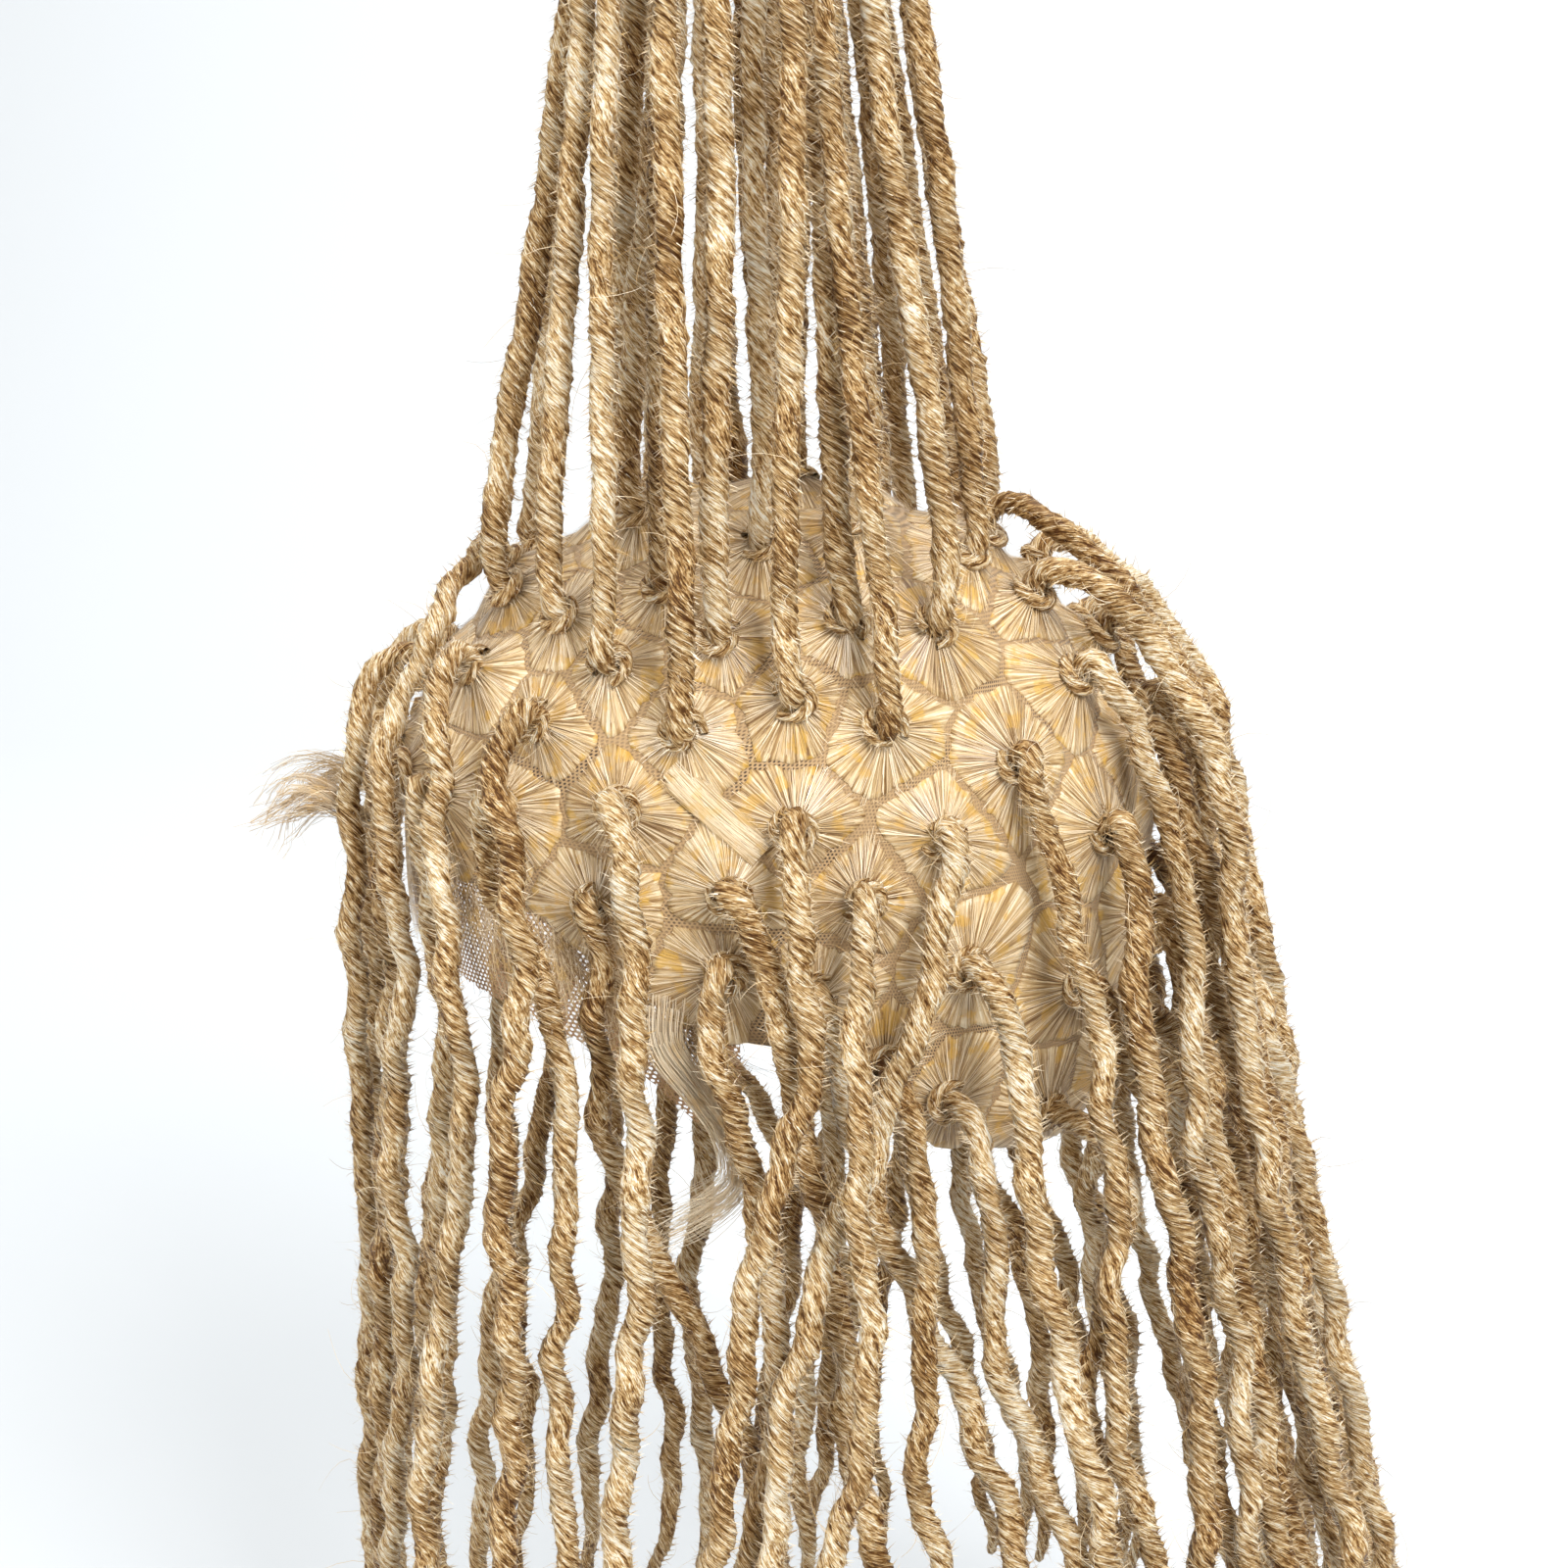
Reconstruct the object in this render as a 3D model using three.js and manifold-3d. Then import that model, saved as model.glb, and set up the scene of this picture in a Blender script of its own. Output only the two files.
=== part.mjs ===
// Full-lace braid wig of wrapped locs, with part of the crown lifted straight up.
// Millimetres, +Z up, the face side looks along -Y, the wearer's left is +X.
// The origin is the middle of the head opening, level with the ear tabs.
import * as THREE from "three";
import { mergeVertices } from "three/addons/utils/BufferGeometryUtils.js";
import Module from "manifold-3d";

const wasm = await Module();
wasm.setup();

// Head form that the cap is sewn to, measured at the inside of the lace
const headHalfWidth = 75;
const headFrontReach = 91;
const headBackReach = 94.5;
const widestHeight = 65;
const crownRise = 82;
const lowerReach = 112;
const lowerRoundness = 2.6;

// Walls and clearances
const laceWall = 1.2;
const seamGap = 0.3;
const chordRoom = 1;
const sliverSize = 0.05;
const padThickness = 1.4;
const padCrown = 2.2;
const padLimit = 24;
const partingWidth = 2.2;
const tieWidth = 4;
const tieThickness = 1.2;

// Locs
const locRadius = 4.2;
const locClearance = 3;
const headRoom = 2.1;
const rootRoom = 3.3;
const locSides = 5;
const locStep = 50;
const liftedStep = 75;
const tipHeight = -205;
const tipStagger = 10;
const liftedHeight = 308;
const swayWidth = 2.4;
const swayLength = 150;

// Heights at which the tables below give a loc's azimuth
const levels = { ear: 45, jaw: 0, neck: -50, end: -110 };

// Baby hair
const babyBandWidth = 4;
const babyBandThickness = 1;
const wispRadius = 2.8;

const riseSteps = 5;

const hairColour = new THREE.Color("#b99768");
const laceColour = new THREE.Color("#b08d66");

// Lower edges by azimuth from the face: where the hair stops and where the bare lace stops
const edgeTable = [
  { azimuth: 0, hair: 1, lace: -12 },
  { azimuth: 30, hair: -2, lace: -14 },
  { azimuth: 58, hair: -6, lace: -18 },
  { azimuth: 75, hair: -14, lace: -24 },
  { azimuth: 83, hair: -19, lace: -31 },
  { azimuth: 92, hair: -20, lace: -21 },
  { azimuth: 105, hair: -22, lace: -22 },
  { azimuth: 116, hair: -36, lace: -36 },
  { azimuth: 150, hair: -43, lace: -43 },
  { azimuth: 180, hair: -45, lace: -45 },
];
const laceEndAzimuth = 90;

// Azimuths of the cap's grid on one side, closer together round the ear tab
const gridAzimuths = [0, 15, 30, 45, 60, 75, 83, 92, 105, 120, 135, 150, 165, 180];

// Locs that hang. Root azimuth and rise on the head form, the azimuth at each level, and how far
// the loc stands off those under it. Roots with a group are sewn to one strip of lace.
const sideHanging = [
  { root: 10, rise: 26, ear: 12, jaw: 13, neck: 12, end: 10, layer: 0 },
  { root: 19, rise: 10, ear: 24, jaw: 26, neck: 25, end: 21, layer: 0 },
  { root: 33.5, rise: 31, ear: 49, jaw: 50, neck: 47, end: 43, layer: 5 },
  { root: 35.5, rise: 10, ear: 42, jaw: 41, neck: 40, end: 37, layer: 0 },
  { root: 54.8, rise: 25, ear: 65, jaw: 65, neck: 63, end: 60, layer: 4 },
  { root: 51, rise: 11, ear: 67, jaw: 70, neck: 70, end: 68, layer: 0 },
  { root: 72, rise: 13, ear: 75, jaw: 72, neck: 75, end: 75, layer: 5 },
  { root: 69, rise: -2, ear: 69, jaw: 70, neck: 83, end: 95, layer: 0 },
  { root: 98, rise: 11.5, ear: 101, jaw: 99, neck: 94, end: 89, layer: 6 },
  { root: 119, rise: 9, ear: 114, jaw: 103, neck: 97, end: 94, layer: 2 },
  { root: 133.6, rise: 19.2, ear: 138.6, jaw: 136.4, neck: 136.5, end: 139.4, layer: 4 },
  { root: 150, rise: 5.4, ear: 147, jaw: 145, neck: 144, end: 145, layer: 2 },
  { root: 155, rise: 30, ear: 153, jaw: 149, neck: 148, end: 148, layer: 4 },
  { root: 162, rise: 45, ear: 164, jaw: 162, neck: 161, end: 163, layer: 4 },
  { root: 167, rise: 17, ear: 169, jaw: 169, neck: 168, end: 168, layer: 2 },
  { root: 107, rise: 0, ear: 107, jaw: 107, neck: 104, end: 101, layer: 7 },
  { root: 123, rise: -10, ear: 121, jaw: 124, neck: 127, end: 128, layer: 3 },
  { root: 145, rise: -15, ear: 148, jaw: 151, neck: 152, end: 152, layer: 1 },
  { root: 164, rise: -9, ear: 162, jaw: 160, neck: 158, end: 158, layer: 2 },
  { root: 122, rise: -28, ear: 121, jaw: 118, neck: 122, end: 126, layer: 1 },
  { root: 143, rise: -33, ear: 142, jaw: 137, neck: 136, end: 135, layer: 0 },
  { root: 163, rise: -31, ear: 163, jaw: 166, neck: 166, end: 164, layer: 0 },
  { root: 89, rise: 1, ear: 97, jaw: 100, neck: 107, end: 115, layer: 1, group: "ear" },
  { root: 88, rise: -9, ear: 93, jaw: 95, neck: 95, end: 93, layer: 0, group: "ear" },
  { root: 101, rise: -12, ear: 102, jaw: 108, neck: 117, end: 121, layer: 0, group: "ear" },
  { root: 111, rise: -22, ear: 111, jaw: 112, neck: 113, end: 118, layer: 0, group: "ear" },
];

// The same for the locs whose roots lie on the centre line. A lead is the azimuth at which a loc
// starts down, where it leaves its root sideways.
const middleHanging = [
  { root: 0, rise: 46, lead: 19, ear: 38, jaw: 37, neck: 35, end: 31, layer: 0 },
  { root: 0, rise: 12, ear: 2, jaw: 3, neck: 2, end: 1, layer: 1 },
  { root: 180, rise: 57, ear: 176, jaw: 174, neck: 173, end: 172, layer: 1 },
  { root: 180, rise: 33, ear: 186, jaw: 188, neck: 190, end: 190, layer: 3 },
  { root: 180, rise: 5, ear: 178, jaw: 177, neck: 177, end: 178, layer: 2 },
  { root: 180, rise: -17, ear: 181, jaw: 183, neck: 184, end: 184, layer: 1 },
  { root: 180, rise: -36, ear: 180, jaw: 180, neck: 181, end: 182, layer: 0 },
];

// Locs that are lifted: root azimuth and rise, and their stretch across and along the bunch
const sideLifted = [
  { root: 24.5, rise: 45, across: 0.62, along: 0.7 },
  { root: 49.2, rise: 43.5, across: 0.62, along: 0.82 },
  { root: 65.2, rise: 36, across: 0.62, along: 0.97 },
  { root: 81, rise: 26, across: 0.58, along: 1.6 },
  { root: 85.5, rise: 42, across: 0.62, along: 1.9 },
  { root: 98, rise: 32, across: 0.66, along: 0.9 },
  { root: 112.2, rise: 26.5, across: 0.52, along: 0.42 },
  { root: 127, rise: 42.8, across: 0.62, along: 0.43 },
  { root: 154, rise: 55, across: 0.6, along: 0.57 },
  { root: 109.5, rise: 44.8, across: 0.45, along: 0.4 },
  { root: 70.5, rise: 51, across: 0.55, along: 1 },
  { root: 92, rise: 62, across: 0.5, along: 0.5 },
  { root: 124, rise: 66, across: 0.4, along: 0.5 },
  { root: 40, rise: 66, across: 0.45, along: 0.75 },
];

// Lifted locs on the centre line, sewn in with the left side
const middleLifted = [
  { root: 0, rise: 68, across: 1, along: 0.8 },
  { root: 180, rise: 86, across: 1, along: 0.8 },
];

const degrees = THREE.MathUtils.degToRad;

// Head form

function formAxes(azimuth) {
  const a = degrees(azimuth);
  return { a, reach: Math.cos(a) > 0 ? headFrontReach : headBackReach };
}

// Gradient of the form's level function at a point given from its widest centre
function formGradient(x, y, z, reach) {
  const power = z >= 0 ? 2 : lowerRoundness;
  const height = z >= 0 ? crownRise : lowerReach;
  const rho = Math.max(1e-6, Math.hypot(x / headHalfWidth, y / reach));
  const zeta = Math.abs(z / height);
  const pull = Math.pow(rho, power - 2);
  return {
    level: Math.pow(Math.pow(rho, power) + Math.pow(zeta, power), 1 / power) - 1,
    gradient: new THREE.Vector3(
      (pull * x) / headHalfWidth ** 2,
      (pull * y) / reach ** 2,
      (Math.sign(z) * Math.pow(zeta, power - 1)) / height,
    ),
  };
}

function surfacePoint(azimuth, rise, offset) {
  const { a, reach } = formAxes(azimuth);
  const s = Math.sin(degrees(rise));
  const power = rise >= 0 ? 2 : lowerRoundness;
  const plan = Math.pow(Math.max(0, 1 - Math.pow(Math.abs(s), power)), 1 / power);
  const x = headHalfWidth * plan * Math.sin(a);
  const y = -reach * plan * Math.cos(a);
  const z = s * (rise >= 0 ? crownRise : lowerReach);
  const normal = formGradient(x, y, z, reach).gradient.normalize();
  return new THREE.Vector3(x, y, z + widestHeight).addScaledVector(normal, offset);
}

function outwardAt(azimuth, rise) {
  return surfacePoint(azimuth, rise, 1).sub(surfacePoint(azimuth, rise, 0));
}

// How far a point lies outside the form, and the way out
function outside(point) {
  const reach = point.y < 0 ? headFrontReach : headBackReach;
  const { level, gradient } = formGradient(point.x, point.y, point.z - widestHeight, reach);
  const power = point.z >= widestHeight ? 2 : lowerRoundness;
  const scale = gradient.length() * Math.pow(level + 1, 1 - power);
  return { distance: level / scale, way: gradient.normalize() };
}

function edgeAt(azimuth, column) {
  const a = Math.abs(((azimuth + 540) % 360) - 180);
  const next = edgeTable.findIndex((row) => row.azimuth >= a);
  if (next === 0) return edgeTable[0][column];
  const [low, high] = [edgeTable[next - 1], edgeTable[next]];
  const share = (a - low.azimuth) / (high.azimuth - low.azimuth);
  return THREE.MathUtils.lerp(low[column], high[column], share);
}

// Solids

function solidFrom(geometry) {
  const bare = geometry.clone();
  bare.deleteAttribute("normal");
  bare.deleteAttribute("uv");
  const merged = mergeVertices(bare, 1e-4);
  return new wasm.Manifold(
    new wasm.Mesh({
      numProp: 3,
      vertProperties: new Float32Array(merged.attributes.position.array),
      triVerts: new Uint32Array(merged.index.array),
    }),
  );
}

function geometryFrom(solid) {
  const { vertProperties, triVerts } = solid.getMesh();
  return new THREE.BufferGeometry()
    .setAttribute("position", new THREE.BufferAttribute(vertProperties, 3))
    .setIndex(new THREE.BufferAttribute(triVerts, 1));
}

// Slivers left by the joining are closed up
function union(solids) {
  return solids.reduce((whole, next) => whole.add(next)).asOriginal().simplify(sliverSize);
}

// A grid of points as two triangles a cell; the far side is wound the other way round
function pushGrid(triangles, rows, flipped) {
  for (let r = 1; r < rows.length; r++) {
    for (let c = 1; c < rows[r].length; c++) {
      const [a, b, d, e] = [rows[r - 1][c - 1], rows[r - 1][c], rows[r][c - 1], rows[r][c]];
      const faces = flipped ? [a, d, b, b, d, e] : [a, b, d, b, e, d];
      triangles.push(...faces);
    }
  }
}

function closedSolid(triangles) {
  const positions = new Float32Array(triangles.flatMap((p) => [p.x, p.y, p.z]));
  const geometry = new THREE.BufferGeometry();
  geometry.setAttribute("position", new THREE.BufferAttribute(positions, 3));
  geometry.setIndex([...Array(triangles.length).keys()]);
  const face = new THREE.Triangle();
  const kept = [];
  for (let i = 0; i < triangles.length; i += 3) {
    face.set(triangles[i], triangles[i + 1], triangles[i + 2]);
    if (face.getArea() > 1e-6) kept.push(i, i + 1, i + 2);
  }
  geometry.setIndex(kept);
  return solidFrom(geometry);
}

// The grid's azimuths right round, ending where they start
function aroundHead() {
  const otherSide = gridAzimuths.slice(0, -1).reverse().map((azimuth) => -azimuth);
  return [...gridAzimuths, ...otherSide];
}

// One layer of the dome, from the hair's edge to the crown, between two offsets
function domeRows(offset) {
  const rows = [];
  for (let r = 0; r <= riseSteps; r++) {
    const row = [];
    for (const azimuth of aroundHead()) {
      const edge = edgeAt(azimuth, "hair");
      row.push(surfacePoint(azimuth, edge + ((90 - edge) * r) / riseSteps, offset));
    }
    rows.push(row);
  }
  rows[riseSteps].fill(surfacePoint(0, 90, offset));
  return rows;
}

function domeLayer(inner, outer) {
  const [insideRows, outsideRows] = [domeRows(inner), domeRows(outer)];
  const triangles = [];
  pushGrid(triangles, outsideRows, false);
  pushGrid(triangles, insideRows, true);
  pushGrid(triangles, [insideRows[0], outsideRows[0]], false);
  return closedSolid(triangles);
}

// A tube whose rings stand at the route's own points, thinned by a factor for each ring
function tube(points, radius, sides, factorAt = () => 1) {
  const section = new THREE.Shape();
  for (let i = 0; i < sides; i++) {
    const a = (2 * Math.PI * i) / sides;
    const [x, y] = [radius * Math.cos(a), radius * Math.sin(a)];
    if (i === 0) section.moveTo(x, y);
    else section.lineTo(x, y);
  }
  section.closePath();
  const route = new THREE.CatmullRomCurve3(points);
  route.getUtoTmapping = (u) => u;
  const geometry = new THREE.ExtrudeGeometry(section, {
    steps: points.length - 1,
    extrudePath: route,
    bevelEnabled: false,
  });
  const place = geometry.attributes.position;
  const vertex = new THREE.Vector3();
  for (let i = 0; i < place.count; i++) {
    vertex.fromBufferAttribute(place, i);
    let nearest = 0;
    points.forEach((p, k) => {
      if (p.distanceTo(vertex) < points[nearest].distanceTo(vertex)) nearest = k;
    });
    vertex.lerp(points[nearest], 1 - factorAt(nearest / (points.length - 1)));
    place.setXYZ(i, vertex.x, vertex.y, vertex.z);
  }
  return solidFrom(geometry);
}

// Loc routes

const padBase = laceWall + seamGap + chordRoom;
const padTop = padBase + padThickness;

// How far the hanging hair stands off the widest outline: it grows downwards, most at the back
function spreadAt(azimuth, height) {
  const fall = Math.max(0, widestHeight - height) / (widestHeight - levels.end);
  const towardsFace = Math.cos(degrees(azimuth));
  return fall * (towardsFace > 0 ? 10 - 6 * towardsFace : 10 - 35 * towardsFace);
}

function hangPoint(azimuth, height, clearance) {
  if (height >= widestHeight) {
    const rise = THREE.MathUtils.radToDeg(Math.asin((height - widestHeight) / crownRise));
    return surfacePoint(azimuth, rise, clearance);
  }
  const point = surfacePoint(azimuth, 0, clearance + spreadAt(azimuth, height));
  point.z = height;
  return point;
}

function smoothStep(share) {
  const s = Math.min(1, Math.max(0, share));
  return s * s * (3 - 2 * s);
}

// Azimuth on the way down, eased between the levels of the table that lie below the root
function azimuthAt(loc, top, height) {
  const stops = [{ height: top, azimuth: loc.lead ?? loc.root }];
  for (const [name, level] of Object.entries(levels)) {
    if (level < top - 15) stops.push({ height: level, azimuth: loc[name] });
  }
  stops.push({ height: tipHeight, azimuth: loc.end + 0.4 * (loc.end - loc.neck) });
  const next = stops.findIndex((stop, i) => i > 0 && height >= stop.height);
  const low = next < 0 ? stops.length - 1 : next;
  const [from, to] = [stops[low - 1], stops[low]];
  const share = smoothStep((from.height - height) / (from.height - to.height));
  return from.azimuth + (to.azimuth - from.azimuth) * share;
}

function evenly(points, step) {
  const path = new THREE.CurvePath();
  for (let i = 1; i < points.length; i++) path.add(new THREE.LineCurve3(points[i - 1], points[i]));
  const count = Math.max(2, Math.round(path.getLength() / step));
  return path.getSpacedPoints(count).slice(0, count + 1);
}

function hangingRoute(loc, index) {
  const root = surfacePoint(loc.root, loc.rise, padTop - 0.8);
  const out = outwardAt(loc.root, loc.rise);
  const bend = root.clone().addScaledVector(out, 9);
  bend.z += 2;
  const clearance = padTop + locRadius + headRoom;
  const top = root.z - 9;
  const tip = tipHeight + tipStagger * Math.sin(index * 1.7);
  const fine = [];
  const pieces = 60;
  for (let i = 0; i <= pieces; i++) {
    const height = top + ((tip - top) * i) / pieces;
    const fall = root.z - height;
    const wave = (2 * Math.PI * fall) / swayLength + index * 2.4;
    const sway = swayWidth * smoothStep(fall / 60);
    const turn = THREE.MathUtils.radToDeg((sway * Math.sin(wave)) / headHalfWidth);
    const away = loc.layer * smoothStep(fall / 70) + 0.5 * sway * Math.cos(1.3 * wave);
    fine.push(hangPoint(azimuthAt(loc, top, height) + turn, height, clearance + away));
  }
  return [root, bend, ...evenly(fine, locStep)];
}

function liftedRoute(loc, index) {
  const root = surfacePoint(loc.root, loc.rise, padTop - 0.8);
  const out = outwardAt(loc.root, loc.rise);
  const bend = root.clone().addScaledVector(out, 6.5);
  const top = new THREE.Vector3(root.x * loc.across, root.y * loc.along, 0);
  top.z = liftedHeight + tipStagger * Math.sin(index * 2.1);
  const lift = bend.clone().lerp(top, 0.07);
  lift.addScaledVector(out, 1.5);
  const points = [bend, ...evenly([lift, top], liftedStep)];
  points.forEach((point, k) => {
    const share = k / (points.length - 1);
    const sway = 2 * Math.sin(Math.PI * share) * Math.sin(6 * share + index * 2.4);
    point.y += sway;
    point.x += 0.7 * sway;
  });
  return [root, ...points];
}

// Locs are pushed apart, and off the cap, until each pair clears; roots stay where they are sewn
function settle(locs) {
  const rounds = 160;
  const easedRounds = 110;
  const sampleStep = 5;
  const pairPitch = Math.hypot(2 * locRadius + locClearance, sampleStep / 2);
  const start = locs.map((loc) => loc.points.map((p) => p.clone()));
  for (let round = 0; round < rounds; round++) {
    const samples = sampleLocs(locs, sampleStep);
    const moves = locs.map((loc) => loc.points.map(() => ({ by: new THREE.Vector3(), weight: 0 })));
    const push = (sample, by) => {
      const [near, far] = [1 - sample.share, sample.share];
      moves[sample.loc][sample.segment].by.addScaledVector(by, near);
      moves[sample.loc][sample.segment].weight += near;
      moves[sample.loc][sample.segment + 1].by.addScaledVector(by, far);
      moves[sample.loc][sample.segment + 1].weight += far;
    };
    forNearPairs(samples, pairPitch + 2 * rootRoom, (one, other) => {
      const wanted = pairPitch + one.extra + other.extra;
      const gap = one.at.distanceTo(other.at);
      if (gap >= wanted || gap < 1e-6) return;
      const by = one.at.clone().sub(other.at).multiplyScalar((0.55 * (wanted - gap)) / gap);
      push(one, by);
      push(other, by.negate());
    });
    for (const sample of samples) {
      if (sample.segment < 2 || locs[sample.loc].fixed) continue;
      const { distance, way } = outside(sample.at);
      const missing = padTop + locRadius + headRoom - distance;
      if (missing > 0) push(sample, way.multiplyScalar(missing));
    }
    locs.forEach((loc, l) => {
      if (loc.fixed) return;
      for (let k = 2; k < loc.points.length; k++) {
        const { by, weight } = moves[l][k];
        loc.points[k].addScaledVector(by, 1 / Math.max(1, weight));
      }
      if (round < easedRounds) easeShifts(loc.points, start[l]);
    });
  }
}

// Each loc as balls along its straight stretches; its mound takes more room
function sampleLocs(locs, sampleStep) {
  const samples = [];
  locs.forEach((loc, l) => {
    for (let s = 0; s < loc.points.length - 1; s++) {
      const [from, to] = [loc.points[s], loc.points[s + 1]];
      const count = Math.max(1, Math.round(from.distanceTo(to) / sampleStep));
      for (let i = 0; i < count; i++) {
        const share = i / count;
        const extra = loc.fixed ? wispRadius - locRadius : s === 0 && i === 0 ? rootRoom : 0;
        samples.push({ loc: l, segment: s, share, extra, at: from.clone().lerp(to, share) });
      }
    }
  });
  return samples;
}

function forNearPairs(samples, reach, visit) {
  const cells = new Map();
  const cellOf = (p) => [p.x, p.y, p.z].map((v) => Math.floor(v / reach));
  samples.forEach((sample, i) => {
    const key = cellOf(sample.at).join();
    if (!cells.has(key)) cells.set(key, []);
    cells.get(key).push(i);
  });
  samples.forEach((sample, i) => {
    const [cx, cy, cz] = cellOf(sample.at);
    for (let x = cx - 1; x <= cx + 1; x++)
      for (let y = cy - 1; y <= cy + 1; y++)
        for (let z = cz - 1; z <= cz + 1; z++)
          for (const j of cells.get([x, y, z].join()) ?? [])
            if (j > i && samples[j].loc !== sample.loc) visit(sample, samples[j]);
  });
}

// A push is shared with the points above and below, so that a loc bends instead of kinking
function easeShifts(points, start) {
  const shifts = points.map((p, k) => p.clone().sub(start[k]));
  for (let k = 2; k < points.length; k++) {
    const below = shifts[Math.min(k + 1, points.length - 1)];
    const mean = shifts[k - 1].clone().add(below).multiplyScalar(0.5);
    points[k].copy(start[k]).add(shifts[k].clone().lerp(mean, 0.12));
  }
}

// Pads: the hair knotted in one part of the lace, bounded midway to each neighbour

function partingPlane(loc, other) {
  const here = surfacePoint(loc.root, loc.rise, padTop);
  const there = surfacePoint(other.root, other.rise, padTop);
  const normal = there.clone().sub(here).normalize();
  return { normal, reach: here.lerp(there, 0.5).dot(normal) - partingWidth / 2 };
}

// The hairline to one side of the root, as a plane square to the head
function hairlinePlane(loc, side) {
  const near = surfacePoint(loc.root, edgeAt(loc.root, "hair"), padTop);
  const far = surfacePoint(loc.root + 12 * side, edgeAt(loc.root + 12 * side, "hair"), padTop);
  const along = far.sub(near);
  const normal = along.cross(outwardAt(loc.root, edgeAt(loc.root, "hair"))).normalize();
  if (normal.z > 0) normal.negate();
  return { normal, reach: near.dot(normal) };
}

// Corners in the root's tangent plane; each keeps the planes of the two edges that meet in it
function padCorners(loc, planes) {
  const root = surfacePoint(loc.root, loc.rise, padTop);
  const out = outwardAt(loc.root, loc.rise);
  const east = new THREE.Vector3(-out.y, out.x, 0).normalize();
  const up = out.clone().cross(east);
  const sides = [east, up, east.clone().negate(), up.clone().negate()].map((normal) => ({
    normal,
    reach: root.dot(normal) + padLimit,
  }));
  const at = (x, y) => root.clone().addScaledVector(east, x).addScaledVector(up, y);
  let corners = [
    { at: at(padLimit, -padLimit), edge: sides[0] },
    { at: at(padLimit, padLimit), edge: sides[1] },
    { at: at(-padLimit, padLimit), edge: sides[2] },
    { at: at(-padLimit, -padLimit), edge: sides[3] },
  ];
  for (const plane of planes) corners = clipped(corners, plane);
  return corners.map((corner, i) => {
    const before = corners.at(i - 1).edge.normal;
    const line = before.clone().cross(corner.edge.normal).normalize();
    const { way } = outside(corner.at);
    return { at: corner.at, line: Math.abs(line.dot(way)) > 0.6 ? line : way };
  });
}

// Each corner's edge is the one that leads on to the next corner
function clipped(corners, plane) {
  const kept = [];
  corners.forEach((corner, i) => {
    const next = corners[(i + 1) % corners.length];
    const here = corner.at.dot(plane.normal) - plane.reach;
    const there = next.at.dot(plane.normal) - plane.reach;
    if (here <= 0) kept.push(corner);
    if (here <= 0 === there <= 0) return;
    const cross = corner.at.clone().lerp(next.at, here / (here - there));
    kept.push({ at: cross, edge: here <= 0 ? plane : corner.edge });
  });
  return kept;
}

// A corner slid along its two planes until it stands off the head form by the offset
function slid(corner, offset) {
  const point = corner.at.clone();
  for (let turn = 0; turn < 6; turn++) {
    const { distance, way } = outside(point);
    point.addScaledVector(corner.line, (offset - distance) / corner.line.dot(way));
  }
  return point;
}

// Two fans, one over and one under, joined round the edge; the middle of the upper one is raised
function fanSolid(loc, planes, low, high, crown) {
  const corners = padCorners(loc, planes);
  const [under, over] = [low, high].map((offset) => corners.map((corner) => slid(corner, offset)));
  const bottom = surfacePoint(loc.root, loc.rise, low);
  const top = surfacePoint(loc.root, loc.rise, high + crown);
  const triangles = [];
  corners.forEach((corner, i) => {
    const j = (i + 1) % corners.length;
    triangles.push(top, over[i], over[j], bottom, under[j], under[i]);
    triangles.push(under[i], under[j], over[i], under[j], over[j], over[i]);
  });
  return closedSolid(triangles);
}

// Ties under the hair that hold the pads of one piece together, each to its nearest neighbour
function tieSolids(members) {
  const joined = [members[0]];
  const waiting = members.slice(1);
  const ties = [];
  const rootOf = (loc) => surfacePoint(loc.root, loc.rise, padBase);
  while (waiting.length) {
    let best = { span: Infinity };
    for (const from of joined) {
      for (const to of waiting) {
        const span = rootOf(from).distanceTo(rootOf(to));
        if (span < best.span) best = { span, from, to };
      }
    }
    joined.push(best.to);
    waiting.splice(waiting.indexOf(best.to), 1);
    ties.push(tieSolid(rootOf(best.from), rootOf(best.to)));
  }
  return ties;
}

function tieSolid(from, to) {
  const middle = from.clone().lerp(to, 0.5);
  const { distance, way } = outside(middle);
  middle.addScaledVector(way, padBase - distance);
  const along = to.clone().sub(from).normalize();
  const across = way.clone().cross(along).normalize();
  const bar = new THREE.BoxGeometry(partingWidth + 3, tieWidth, tieThickness);
  const turn = new THREE.Matrix4().makeBasis(along, across, along.clone().cross(across));
  return solidFrom(bar.applyMatrix4(turn.setPosition(middle)));
}

// A pad lowered onto the cap until only the seam's gap is left
function seated(pad, cap, loc) {
  const slack = cap.minGap(pad, 5) - seamGap;
  const way = outwardAt(loc.root, loc.rise).multiplyScalar(-slack);
  return pad.translate([way.x, way.y, way.z]);
}

function padPlanes(loc, locs) {
  const near = (other) => {
    const span = surfacePoint(loc.root, loc.rise, 0).distanceTo(
      surfacePoint(other.root, other.rise, 0),
    );
    return other !== loc && span < 3 * padLimit;
  };
  const partings = locs.filter(near).map((other) => partingPlane(loc, other));
  return [...partings, hairlinePlane(loc, -1), hairlinePlane(loc, 1)];
}

function locSolid(loc) {
  const tipShape = (share) => (share === 1 ? 0.45 : 1);
  return tube(loc.points, locRadius, locSides, tipShape);
}

// Both sides from one table; the right side is turned and waved a little differently
function mirrored(row, index) {
  const shift = 1.6 * Math.sin(index * 2.3);
  const turned = { ...row, root: -row.root };
  for (const column of Object.keys(levels)) {
    if (column in row) turned[column] = -row[column] + shift;
  }
  return turned;
}

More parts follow.
